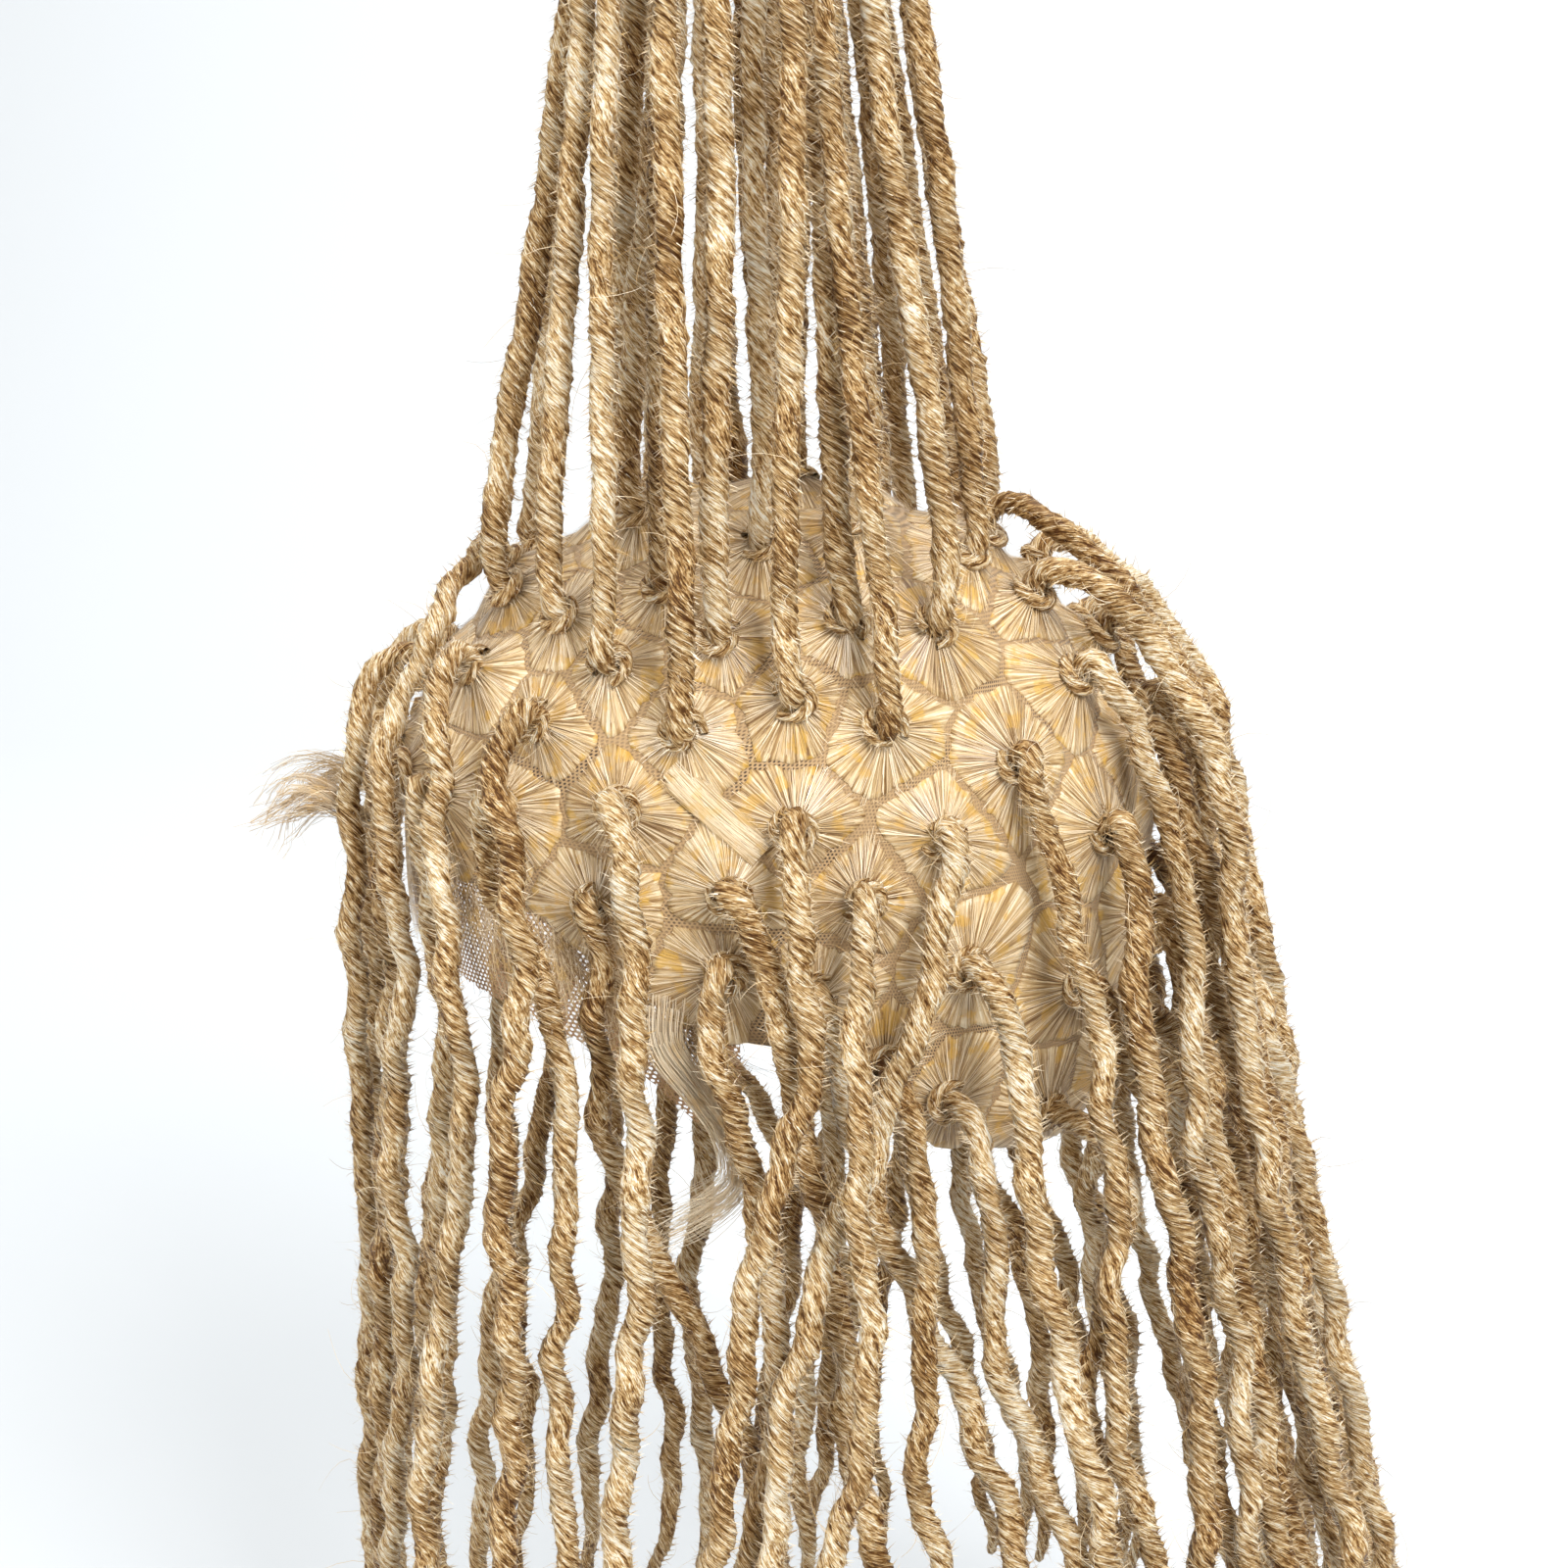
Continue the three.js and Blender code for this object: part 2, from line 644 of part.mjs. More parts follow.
function nameLocs() {
  const locs = [];
  const add = (row, name, route) => {
    const loc = { ...row, name };
    loc.points = route(loc, locs.length);
    locs.push(loc);
  };
  sideHanging.forEach((row, i) => {
    const number = String(i + 1).padStart(2, "0");
    const nameOn = (side) => (row.group ? `${row.group}_locs_${side}` : `loc_${side}_${number}`);
    add(row, nameOn("left"), hangingRoute);
    add(mirrored(row, i), nameOn("right"), hangingRoute);
  });
  middleHanging.forEach((row, i) => add(row, "loc_middle_" + (i + 1), hangingRoute));
  sideLifted.forEach((row, i) => {
    add(row, "lifted_locs_left", liftedRoute);
    add(mirrored(row, i), "lifted_locs_right", liftedRoute);
  });
  middleLifted.forEach((row) => add(row, "lifted_locs_left", liftedRoute));
  return locs;
}

// Lace front: bare lace below the hairline, from ear tab to ear tab
function laceFrontSolid() {
  const bands = 2;
  const hemGap = 0.5;
  const oneSide = [...gridAzimuths.filter((azimuth) => azimuth < laceEndAzimuth), laceEndAzimuth];
  const azimuths = [...oneSide.slice(1).reverse().map((azimuth) => -azimuth), ...oneSide];
  const rowsAt = (offset) => {
    const rows = [];
    for (let r = 0; r <= bands; r++) {
      const row = azimuths.map((azimuth) => {
        const high = edgeAt(azimuth, "hair") - hemGap;
        const low = edgeAt(azimuth, "lace") - hemGap - 1;
        return surfacePoint(azimuth, THREE.MathUtils.lerp(low, high, r / bands), offset);
      });
      rows.push(row);
    }
    return rows;
  };
  const [inner, outer] = [rowsAt(0), rowsAt(laceWall - 0.2)];
  const last = azimuths.length - 1;
  const triangles = [];
  pushGrid(triangles, outer, false);
  pushGrid(triangles, inner, true);
  pushGrid(triangles, [inner[0], outer[0]], false);
  pushGrid(triangles, [outer[bands], inner[bands]], false);
  const side = (rows, c) => rows.map((row) => row[c]);
  pushGrid(triangles, [side(outer, 0), side(inner, 0)], false);
  pushGrid(triangles, [side(inner, last), side(outer, last)], false);
  return closedSolid(triangles);
}

// Baby hair: a knotted band just below the hairline, with a loose lock at the front and temple

const bandLow = laceWall + seamGap + 0.4;
const bandHigh = bandLow + babyBandThickness;

const frontWisp = {
  root: 9,
  steps: [
    { x: 1, y: -9, z: 2 },
    { x: 2, y: -9, z: -2 },
    { x: 1, y: -4, z: -9 },
    { x: 0, y: 4, z: -7 },
  ],
};
const templeWisp = {
  root: 80,
  steps: [
    { x: 1, y: 3, z: -12 },
    { x: 0, y: 5, z: -13 },
    { x: 0, y: 1, z: -12 },
    { x: 1, y: -8, z: -8 },
  ],
};

function wispPoints(wisp, side) {
  const rise = edgeAt(wisp.root, "hair") - 2.5;
  const start = surfacePoint(wisp.root, rise, bandHigh - 0.6);
  const points = [start, start.clone().addScaledVector(outwardAt(wisp.root, rise), 5)];
  for (const { x, y, z } of wisp.steps) {
    points.push(points.at(-1).clone().add(new THREE.Vector3(x, y, z)));
  }
  points.forEach((point) => (point.x *= side));
  return points;
}

function babyHairSolid(side) {
  const columns = 8;
  const [from, to] = [4, laceEndAzimuth - 8];
  const dropAngle = THREE.MathUtils.radToDeg(babyBandWidth / lowerReach);
  const azimuths = [...Array(columns + 1).keys()].map((c) => from + ((to - from) * c) / columns);
  const line = (drop, offset) =>
    azimuths.map((azimuth) => {
      const p = surfacePoint(azimuth, edgeAt(azimuth, "hair") - 1 - drop, offset);
      return new THREE.Vector3(p.x * side, p.y, p.z);
    });
  const ring = [
    line(dropAngle, bandLow),
    line(dropAngle, bandHigh),
    line(0, bandHigh),
    line(0, bandLow),
    line(dropAngle, bandLow),
  ];
  const triangles = [];
  pushGrid(triangles, ring, side < 0);
  for (const c of [0, columns]) {
    const corners = ring.slice(0, 4).map((points) => points[c]);
    const [a, b, d, e] = (c === 0) === side > 0 ? corners : [...corners].reverse();
    triangles.push(a, b, e, b, d, e);
  }
  const thinned = (share) => 1 - 0.75 * share;
  const wisps = [frontWisp, templeWisp].map((wisp) =>
    tube(wispPoints(wisp, side), wispRadius, 4, thinned),
  );
  return union([closedSolid(triangles), ...wisps]);
}

const materials = {
  hair: new THREE.MeshStandardMaterial({ color: hairColour, roughness: 0.55, metalness: 0 }),
  lace: new THREE.MeshStandardMaterial({ color: laceColour, roughness: 0.8, metalness: 0 }),
};

function named(name, solid, material) {
  const mesh = new THREE.Mesh(geometryFrom(solid), material);
  mesh.name = name;
  return mesh;
}

function buildWig() {
  const wig = new THREE.Group();
  const locs = nameLocs();
  const wisps = [frontWisp, templeWisp].flatMap((wisp) => [
    { points: wispPoints(wisp, 1), fixed: true },
    { points: wispPoints(wisp, -1), fixed: true },
  ]);
  settle([...locs, ...wisps]);

  const cap = domeLayer(0, laceWall);
  wig.add(named("lace_cap", cap, materials.lace));
  wig.add(named("lace_front", laceFrontSolid(), materials.lace));

  const pieceOf = (loc) => {
    const planes = padPlanes(loc, locs);
    const pad = fanSolid(loc, planes, padBase, padTop, padCrown);
    return seated(pad, cap, loc).add(locSolid(loc));
  };
  for (const name of new Set(locs.map((loc) => loc.name))) {
    const members = locs.filter((loc) => loc.name === name);
    const solids = [...members.map(pieceOf), ...tieSolids(members)];
    wig.add(named(name, union(solids), materials.hair));
  }
  wig.add(named("baby_hair_left", babyHairSolid(1), materials.hair));
  wig.add(named("baby_hair_right", babyHairSolid(-1), materials.hair));
  return wig;
}

export default buildWig();
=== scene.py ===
# Full-lace braid wig of wrapped locs: the looks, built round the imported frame.
# Shapes are worked out in millimetres and written to the meshes in metres.
import math

import bpy
import numpy as np
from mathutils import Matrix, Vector


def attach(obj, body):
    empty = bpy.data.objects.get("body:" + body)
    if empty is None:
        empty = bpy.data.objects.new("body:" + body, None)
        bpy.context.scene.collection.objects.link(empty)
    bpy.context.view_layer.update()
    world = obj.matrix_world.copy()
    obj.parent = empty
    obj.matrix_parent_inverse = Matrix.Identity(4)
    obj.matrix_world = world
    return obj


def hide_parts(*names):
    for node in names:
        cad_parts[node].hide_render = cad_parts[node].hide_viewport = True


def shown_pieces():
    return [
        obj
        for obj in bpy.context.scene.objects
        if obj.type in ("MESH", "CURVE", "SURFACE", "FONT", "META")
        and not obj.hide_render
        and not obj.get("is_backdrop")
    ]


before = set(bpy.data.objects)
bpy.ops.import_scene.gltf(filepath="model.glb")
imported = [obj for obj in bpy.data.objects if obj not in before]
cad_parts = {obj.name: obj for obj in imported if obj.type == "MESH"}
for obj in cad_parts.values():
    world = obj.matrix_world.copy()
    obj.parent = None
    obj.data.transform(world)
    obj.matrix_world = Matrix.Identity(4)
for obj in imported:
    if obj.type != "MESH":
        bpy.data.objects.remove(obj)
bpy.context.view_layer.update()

millimetre = 0.001
dice = np.random.default_rng(20)

# Head form inside the lace, the same driving sizes as in the part
headForm = {
    "halfWidth": 75,
    "frontReach": 91,
    "backReach": 94.5,
    "widestHeight": 65,
    "crownRise": 82,
    "lowerReach": 112,
    "lowerRoundness": 2.6,
}

# Where the hair and the bare lace stop, as rise on the form by azimuth from the face
edgeAzimuths = [0, 30, 58, 75, 83, 92, 105, 116, 150, 180]
edgeRises = {
    "hair": [1, -2, -6, -14, -19, -20, -22, -36, -43, -45],
    "lace": [-12, -14, -18, -24, -31, -21, -22, -36, -43, -45],
}


def unit(vectors):
    return vectors / np.maximum(1e-9, np.linalg.norm(vectors, axis=-1, keepdims=True))


def edgeAt(azimuth, which):
    turned = np.abs((np.asarray(azimuth, float) + 540) % 360 - 180)
    return np.interp(turned, edgeAzimuths, edgeRises[which])


# Distance of points from the head form, and the way out
def formGap(points):
    x, y, z = points[..., 0], points[..., 1], points[..., 2] - headForm["widestHeight"]
    reach = np.where(y < 0, headForm["frontReach"], headForm["backReach"])
    power = np.where(z >= 0, 2.0, headForm["lowerRoundness"])
    height = np.where(z >= 0, headForm["crownRise"], headForm["lowerReach"])
    rho = np.maximum(1e-6, np.hypot(x / headForm["halfWidth"], y / reach))
    zeta = np.abs(z / height)
    level = (rho**power + zeta**power) ** (1 / power) - 1
    pull = rho ** (power - 2)
    gradient = np.stack(
        [
            pull * x / headForm["halfWidth"] ** 2,
            pull * y / reach**2,
            np.sign(z) * zeta ** (power - 1) / height,
        ],
        axis=-1,
    )
    steepness = np.linalg.norm(gradient, axis=-1) * (level + 1) ** (1 - power)
    return level / steepness, unit(gradient)


# Points moved square to the form until they stand off it by the offset
def ontoForm(points, offset):
    for _ in range(5):
        gap, way = formGap(points)
        points = points + way * (offset - gap)[..., None]
    return points


def formPoint(azimuth, rise, offset):
    azimuth, rise = np.broadcast_arrays(np.radians(azimuth), np.radians(rise))
    s = np.sin(rise)
    power = np.where(rise >= 0, 2.0, headForm["lowerRoundness"])
    plan = np.maximum(0, 1 - np.abs(s) ** power) ** (1 / power)
    reach = np.where(np.cos(azimuth) > 0, headForm["frontReach"], headForm["backReach"])
    z = s * np.where(rise >= 0, headForm["crownRise"], headForm["lowerReach"])
    x = headForm["halfWidth"] * plan * np.sin(azimuth)
    y = -reach * plan * np.cos(azimuth)
    foot = np.stack([x, y, z + headForm["widestHeight"]], axis=-1)
    return foot + formGap(foot * 1.0)[1] * np.asarray(offset, float)[..., None]


def azimuthOf(points):
    reach = np.where(points[..., 1] < 0, headForm["frontReach"], headForm["backReach"])
    return np.degrees(np.arctan2(points[..., 0] / headForm["halfWidth"], -points[..., 1] / reach))


# Materials

def linear(hexColour):
    channels = [int(hexColour[i : i + 2], 16) / 255 for i in (1, 3, 5)]
    bent = [c / 12.92 if c <= 0.04045 else ((c + 0.055) / 1.055) ** 2.4 for c in channels]
    return (*bent, 1.0)


def addNode(tree, kind, inputs=(), stops=(), **settings):
    node = tree.nodes.new(kind)
    for name, value in settings.items():
        setattr(node, name, value)
    for key, value in dict(inputs).items():
        if isinstance(value, bpy.types.NodeSocket):
            tree.links.new(value, node.inputs[key])
        else:
            node.inputs[key].default_value = value
    for i, (place, colour) in enumerate(stops):
        ramp = node.color_ramp.elements
        stop = ramp[i] if i < 2 else ramp.new(place)
        stop.position = place
        stop.color = linear(colour)
    return node


def newMaterial(name):
    material = bpy.data.materials.new(name)
    material.use_nodes = True
    tree = material.node_tree
    tree.nodes.clear()
    output = addNode(tree, "ShaderNodeOutputMaterial")
    return material, tree, output


wrappedFibreLook = {
    "strokeWidth": 0.4,  # mm, drawn three times the real fibre so that it shows
    "strokeLength": 1.6,  # mm
    "bandWidth": 1.6,  # mm, shades between handfuls of fibre
    # the two palest stops are painted highlights, glints put into the base colour
    "colours": [(0.35, "#4A260A"), (0.42, "#8C6435"), (0.49, "#C09A66"), (0.56, "#E9CF9F"),
                (0.63, "#FFF8E6")],
}


# Modacrylic braiding fibre, wrapped by hand: silky strokes along the wrap, with bright glints painted into
# the colour
def wrappedFibre():
    look = wrappedFibreLook
    material, tree, output = newMaterial("wrapped modacrylic fibre")
    strand = addNode(tree, "ShaderNodeAttribute", attribute_name="strand")
    tone = addNode(tree, "ShaderNodeAttribute", attribute_name="tone")
    fine = 1 / look["strokeWidth"]
    along = addNode(tree, "ShaderNodeVectorMath", {0: strand.outputs["Vector"],
                    1: (fine, fine, 1 / look["strokeLength"])}, operation="MULTIPLY")
    strokes = addNode(tree, "ShaderNodeTexNoise", {"Vector": along.outputs[0], "Scale": 0.9,
                      "Detail": 3.0, "Roughness": 0.65})
    coarse = 1 / look["bandWidth"]
    across = addNode(tree, "ShaderNodeVectorMath", {0: strand.outputs["Vector"],
                     1: (coarse, coarse, 0.09)}, operation="MULTIPLY")
    bands = addNode(tree, "ShaderNodeTexNoise", {"Vector": across.outputs[0], "Scale": 0.8,
                    "Detail": 2.0})
    mixed = addNode(tree, "ShaderNodeMath", {0: strokes.outputs["Fac"], 1: 0.84}, operation="MULTIPLY")
    both = addNode(tree, "ShaderNodeMath", {0: bands.outputs["Fac"], 1: 0.16, 2: mixed.outputs[0]},
                   operation="MULTIPLY_ADD")
    shaded = addNode(tree, "ShaderNodeMath", {0: both.outputs[0], 1: tone.outputs["Fac"]},
                     operation="ADD")
    colour = addNode(tree, "ShaderNodeValToRGB", {"Fac": shaded.outputs[0]}, stops=look["colours"])
    relief = addNode(tree, "ShaderNodeBump", {"Height": strokes.outputs["Fac"], "Distance": 0.0009,
                     "Strength": 1.0})
    surface = addNode(tree, "ShaderNodeBsdfPrincipled", {"Base Color": colour.outputs["Color"],
                      "Normal": relief.outputs["Normal"], "Roughness": 0.34, "Specular IOR Level": 0.45,
                      "Specular Tint": linear("#FFE3B8")})
    tree.links.new(surface.outputs["BSDF"], output.inputs["Surface"])
    return material


combedFibreLook = {
    "strokeWidth": 0.34,  # mm at the middle of the pad's radius
    "colours": [(0.32, "#7A5830"), (0.43, "#AA8756"), (0.50, "#C9AA78"), (0.58, "#E4CB9F"),
                (0.68, "#FBEBCB")],
    "fleck": "#DBAC44",
    "patchScale": 190.0,  # per metre, patches of about 5 mm
}


# Patches where a few fibres are a deeper gold, mixed into the colour of the rest
def withGoldenFlecks(tree, colour, amount):
    place = addNode(tree, "ShaderNodeTexCoord")
    patches = addNode(tree, "ShaderNodeTexNoise", {"Vector": place.outputs["Object"],
                      "Scale": combedFibreLook["patchScale"], "Detail": 3.0})
    flecked = addNode(tree, "ShaderNodeMapRange", {"Value": patches.outputs["Fac"], "From Min": 0.55,
                      "From Max": 0.62, "To Max": amount})
    golden = addNode(tree, "ShaderNodeMix", {0: flecked.outputs[0], 6: colour,
                     7: linear(combedFibreLook["fleck"])}, data_type="RGBA")
    return golden.outputs[2]


# The same fibre combed flat from its parting to the root: brighter, with yellow flecks
def combedFibre():
    look = combedFibreLook
    material, tree, output = newMaterial("combed modacrylic fibre")
    strand = addNode(tree, "ShaderNodeAttribute", attribute_name="strand")
    tone = addNode(tree, "ShaderNodeAttribute", attribute_name="tone")
    fine = 1 / look["strokeWidth"]
    along = addNode(tree, "ShaderNodeVectorMath", {0: strand.outputs["Vector"], 1: (fine, fine, 0.11)},
                    operation="MULTIPLY")
    strokes = addNode(tree, "ShaderNodeTexNoise", {"Vector": along.outputs[0], "Scale": 0.7, "Detail": 3.0,
                      "Roughness": 0.6})
    shaded = addNode(tree, "ShaderNodeMath", {0: strokes.outputs["Fac"], 1: tone.outputs["Fac"]},
                     operation="ADD")
    colour = addNode(tree, "ShaderNodeValToRGB", {"Fac": shaded.outputs[0]}, stops=look["colours"])
    golden = withGoldenFlecks(tree, colour.outputs["Color"], 0.65)
    relief = addNode(tree, "ShaderNodeBump", {"Height": strokes.outputs["Fac"], "Distance": 0.0007,
                     "Strength": 0.9})
    surface = addNode(tree, "ShaderNodeBsdfPrincipled", {"Base Color": golden,
                      "Normal": relief.outputs["Normal"], "Roughness": 0.38, "Specular IOR Level": 0.5,
                      "Sheen Weight": 0.1})
    tree.links.new(surface.outputs["BSDF"], output.inputs["Surface"])
    return material


# Single loose fibres: pale, a little glossy, lit from behind
def looseFibre():
    material, tree, output = newMaterial("loose modacrylic fibre")
    tone = addNode(tree, "ShaderNodeAttribute", attribute_name="tone")
    lifted = addNode(tree, "ShaderNodeMath", {0: tone.outputs["Fac"], 1: 0.5}, operation="ADD")
    colour = addNode(tree, "ShaderNodeValToRGB", {"Fac": lifted.outputs[0]},
                     stops=[(0.2, "#886237"), (0.5, "#CDAE7C"), (0.8, "#FBEBCD")])
    golden = withGoldenFlecks(tree, colour.outputs["Color"], 0.4)
    surface = addNode(tree, "ShaderNodeBsdfPrincipled", {"Base Color": golden, "Roughness": 0.35,
                      "Specular IOR Level": 0.6, "Sheen Weight": 0.3})
    tree.links.new(surface.outputs["BSDF"], output.inputs["Surface"])
    return material


netLook = {
    "capPitch": 0.95,  # mm between the holes, drawn a little coarser than real so that they show
    "frontPitch": 1.25,
    "cap": "#B4946A",
    # painted shade seen through the holes of the cap lace
    "capHoleShade": "#3E2F1F",
    "front": "#B58D66",
}


# Rows of holes set in a honeycomb, worked out from the strand attribute, as a mask from 0 to 1
def honeycomb(tree, pitch, edge, soft):
    flat = addNode(tree, "ShaderNodeAttribute", attribute_name="strand")
    masks, rowStretch = [], 1.732  # rows stand the root of three apart
    for shift in (0.0, 0.5):  # two square lattices, one in the gaps of the other
        perMillimetre = (1 / pitch, 1 / (pitch * rowStretch), 0)
        scaled = addNode(tree, "ShaderNodeVectorMath", {0: flat.outputs["Vector"], 1: perMillimetre,
                         2: (shift, shift, 0)}, operation="MULTIPLY_ADD")
        wrapped = addNode(tree, "ShaderNodeVectorMath", {0: scaled.outputs[0]}, operation="FRACTION")
        centred = addNode(tree, "ShaderNodeVectorMath", {0: wrapped.outputs[0], 1: (0.5, 0.5, 0)},
                          operation="SUBTRACT")
        sized = addNode(tree, "ShaderNodeVectorMath", {0: centred.outputs[0], 1: (1, rowStretch, 0)},
                        operation="MULTIPLY")
        radius = addNode(tree, "ShaderNodeVectorMath", {0: sized.outputs[0]}, operation="LENGTH")
        masks.append(radius.outputs["Value"])
    nearest = addNode(tree, "ShaderNodeMath", {0: masks[0], 1: masks[1]}, operation="MINIMUM")
    return addNode(tree, "ShaderNodeMapRange", {"Value": nearest.outputs[0], "From Min": edge - soft,
                   "From Max": edge + soft})


# Tan cap lace over a lining: matt threads, with small holes painted dark as the shade seen through them,
# darker in patches
def capLace():
    material, tree, output = newMaterial("knitted cap lace")
    threads = honeycomb(tree, netLook["capPitch"], 0.27, 0.09)
    place = addNode(tree, "ShaderNodeTexCoord")
    # noise that sets, patch by patch, how dark the painted shade in the holes is
    holeShadeNoise = addNode(tree, "ShaderNodeTexNoise", {"Vector": place.outputs["Object"], "Scale": 60.0,
                   "Detail": 3.0})
    open_ = addNode(tree, "ShaderNodeMapRange", {"Value": holeShadeNoise.outputs["Fac"], "From Min": 0.5,
                    "From Max": 0.62, "To Min": 0.32, "To Max": 1.0})
    hole = addNode(tree, "ShaderNodeMath", {0: 1.0, 1: threads.outputs[0]}, operation="SUBTRACT")
    depth = addNode(tree, "ShaderNodeMath", {0: hole.outputs[0], 1: open_.outputs[0]},
                    operation="MULTIPLY")
    colour = addNode(tree, "ShaderNodeMix", {0: depth.outputs[0], 6: linear(netLook["cap"]),
                     7: linear(netLook["capHoleShade"])}, data_type="RGBA")
    relief = addNode(tree, "ShaderNodeBump", {"Height": threads.outputs[0], "Distance": 0.0003,
                     "Strength": 0.6})
    surface = addNode(tree, "ShaderNodeBsdfPrincipled", {"Base Color": colour.outputs[2],
                      "Normal": relief.outputs["Normal"], "Roughness": 0.75, "Sheen Weight": 0.2})
    tree.links.new(surface.outputs["BSDF"], output.inputs["Surface"])
    return material


# Sheer lace of the front: a fine open net in a skin shade
def sheerLace():
    material, tree, output = newMaterial("sheer lace net")
    threads = honeycomb(tree, netLook["frontPitch"], 0.3, 0.07)
    surface = addNode(tree, "ShaderNodeBsdfPrincipled", {"Base Color": linear(netLook["front"]),
                      "Alpha": threads.outputs[0], "Roughness": 0.6, "Sheen Weight": 0.2})
    tree.links.new(surface.outputs["BSDF"], output.inputs["Surface"])
    return material


finishes = [wrappedFibre(), combedFibre(), looseFibre(), capLace(), sheerLace()]
wrapped, combed, loose, lace, sheer = range(5)
print("materials made:", len(finishes))


# Meshes from arrays

# What one piece is gathered from: points in mm, quads and triangles, and what the materials read
class Gathered:
    def __init__(self):
        self.points, self.strand, self.tone = [], [], []
        self.faces, self.finish, self.count = [], [], 0

    def add(self, points, faces, strand, tone, finish):
        points = np.asarray(points, float).reshape(-1, 3)
        self.points.append(points)
        self.strand.append(np.broadcast_to(strand, points.shape).reshape(-1, 3))
        self.tone.append(np.broadcast_to(tone, len(points)))
        self.faces.extend((np.asarray(faces) + self.count).tolist())
        self.finish.extend([finish] * len(faces))
        self.count += len(points)


def makePiece(name, gathered, nodes):
    mesh = bpy.data.meshes.new(name)
    points = np.concatenate(gathered.points) * millimetre
    mesh.from_pydata(points.tolist(), [], gathered.faces)
    strand = mesh.attributes.new("strand", "FLOAT_VECTOR", "POINT")
    strand.data.foreach_set("vector", np.concatenate(gathered.strand).astype(np.float32).ravel())
    tone = mesh.attributes.new("tone", "FLOAT", "POINT")
    tone.data.foreach_set("value", np.concatenate(gathered.tone).astype(np.float32))
    used = sorted(set(gathered.finish))
    for finish in used:
        mesh.materials.append(finishes[finish])
    mesh.polygons.foreach_set("material_index", [used.index(f) for f in gathered.finish])
    mesh.polygons.foreach_set("use_smooth", [True] * len(mesh.polygons))
    mesh.update()
    piece = bpy.data.objects.new(name, mesh)
    bpy.context.scene.collection.objects.link(piece)
    dress(piece, nodes)


def dress(piece, nodes):
    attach(piece, "root")
    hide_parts(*nodes)


# Quads between rows of points; closed rows join their last point to their first
def gridFaces(rows, columns, closed):
    last = columns if closed else columns - 1
    r, c = np.meshgrid(np.arange(rows - 1), np.arange(last), indexing="ij")
    r, c = r.ravel(), c.ravel()
    following = (c + 1) % columns
    return np.stack([r * columns + c, r * columns + following, (r + 1) * columns + following,
                     (r + 1) * columns + c], axis=1)


# Centre lines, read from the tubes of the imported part

tubeSizes = {
    "radius": 4.2,
    "sides": 5,
    "tipShare": 0.45,
    "hangingBend": 9,  # mm from the head form to the first ring of a hanging tube
    "hangingDrop": 2,
    "liftedBend": 6.5,
}


def weldedGraph(node):
    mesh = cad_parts[node].data
    corners = np.zeros(len(mesh.vertices) * 3)
    mesh.vertices.foreach_get("co", corners)
    corners = corners.reshape(-1, 3) / millimetre
    keys, first, same = np.unique(np.round(corners, 2), axis=0, return_index=True, return_inverse=True)
    edges = np.zeros(len(mesh.edges) * 2, int)
    mesh.edges.foreach_get("vertices", edges)
    pairs = same.ravel()[edges].reshape(-1, 2)
    neighbours = [set() for _ in first]
    for a, b in pairs:
        if a != b:
            neighbours[a].add(int(b))
            neighbours[b].add(int(a))
    return corners[first], neighbours


# The small five-sided ends of a node's tubes: rings of edges as short as the tip's
def tipRings(points, neighbours):
    tipRadius = tubeSizes["radius"] * tubeSizes["tipShare"]
    edge = 2 * tipRadius * math.sin(math.pi / tubeSizes["sides"])
    rings, seen = [], set()
    for start in range(len(points)):
        ring, waiting = {start}, [start]
        if start in seen:
            continue
        while waiting and len(ring) <= tubeSizes["sides"]:
            here = waiting.pop()
            for other in neighbours[here] - ring:
                if abs(np.linalg.norm(points[here] - points[other]) - edge) < 0.12:
                    ring.add(other)
                    waiting.append(other)
        if len(ring) == tubeSizes["sides"]:
            seen |= ring
            around = points[list(ring)]
            if np.ptp(np.linalg.norm(around - around.mean(0), axis=1)) < 0.15:
                rings.append(ring)
    return rings


# Ring by ring from the tip to the bend above the root
def centreLine(points, neighbours, tip):
    line, seen, ring = [], set(), tip
    while len(ring) == tubeSizes["sides"]:
        around = points[list(ring)]
        radii = np.linalg.norm(around - around.mean(0), axis=1)
        if line and (np.ptp(radii) > 0.6 or abs(radii.mean() - tubeSizes["radius"]) > 0.5):
            break
        line.append(around.mean(0))
        seen |= ring
        ring = set().union(*(neighbours[v] for v in ring)) - seen
    return np.array(line[::-1])


def readLocs():
    locs = []
    for node in sorted(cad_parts):
        if "loc" not in node:
            continue
        points, neighbours = weldedGraph(node)
        for tip in tipRings(points, neighbours):
            line = centreLine(points, neighbours, tip)
            lifted = line[-1][2] > line[0][2]
            bend = line[0] - np.array([0, 0, 0 if lifted else tubeSizes["hangingDrop"]])
            _, way = formGap(bend[None])
            reach = tubeSizes["liftedBend" if lifted else "hangingBend"]
            foot = ontoForm((bend - way[0] * reach)[None], np.zeros(1))[0]
            out = formGap(foot[None])[1][0]
            locs.append({"node": node, "lifted": lifted, "line": line, "foot": foot, "out": out})
    return locs


locs = readLocs()
print("locs read from the frame:", len(locs), "on", len({loc["node"] for loc in locs}), "nodes")


# Pads of combed hair, one for each root

padLook = {
    "directions": 48,
    "rings": [0.0, 0.1, 0.22, 0.38, 0.56, 0.74, 0.9, 1.0],
    "parting": 1.9,
    "limit": 24,
    "evenness": 1.5,
    "meetingHeight": 3.9,
    "rimOffset": 1.35,
    "crownOffset": 5.2,
    "fibres": 330,
    "tufts": 44,
    "fibreWidth": 0.15,
}

feet = np.array([loc["foot"] for loc in locs])
outs = np.array([loc["out"] for loc in locs])


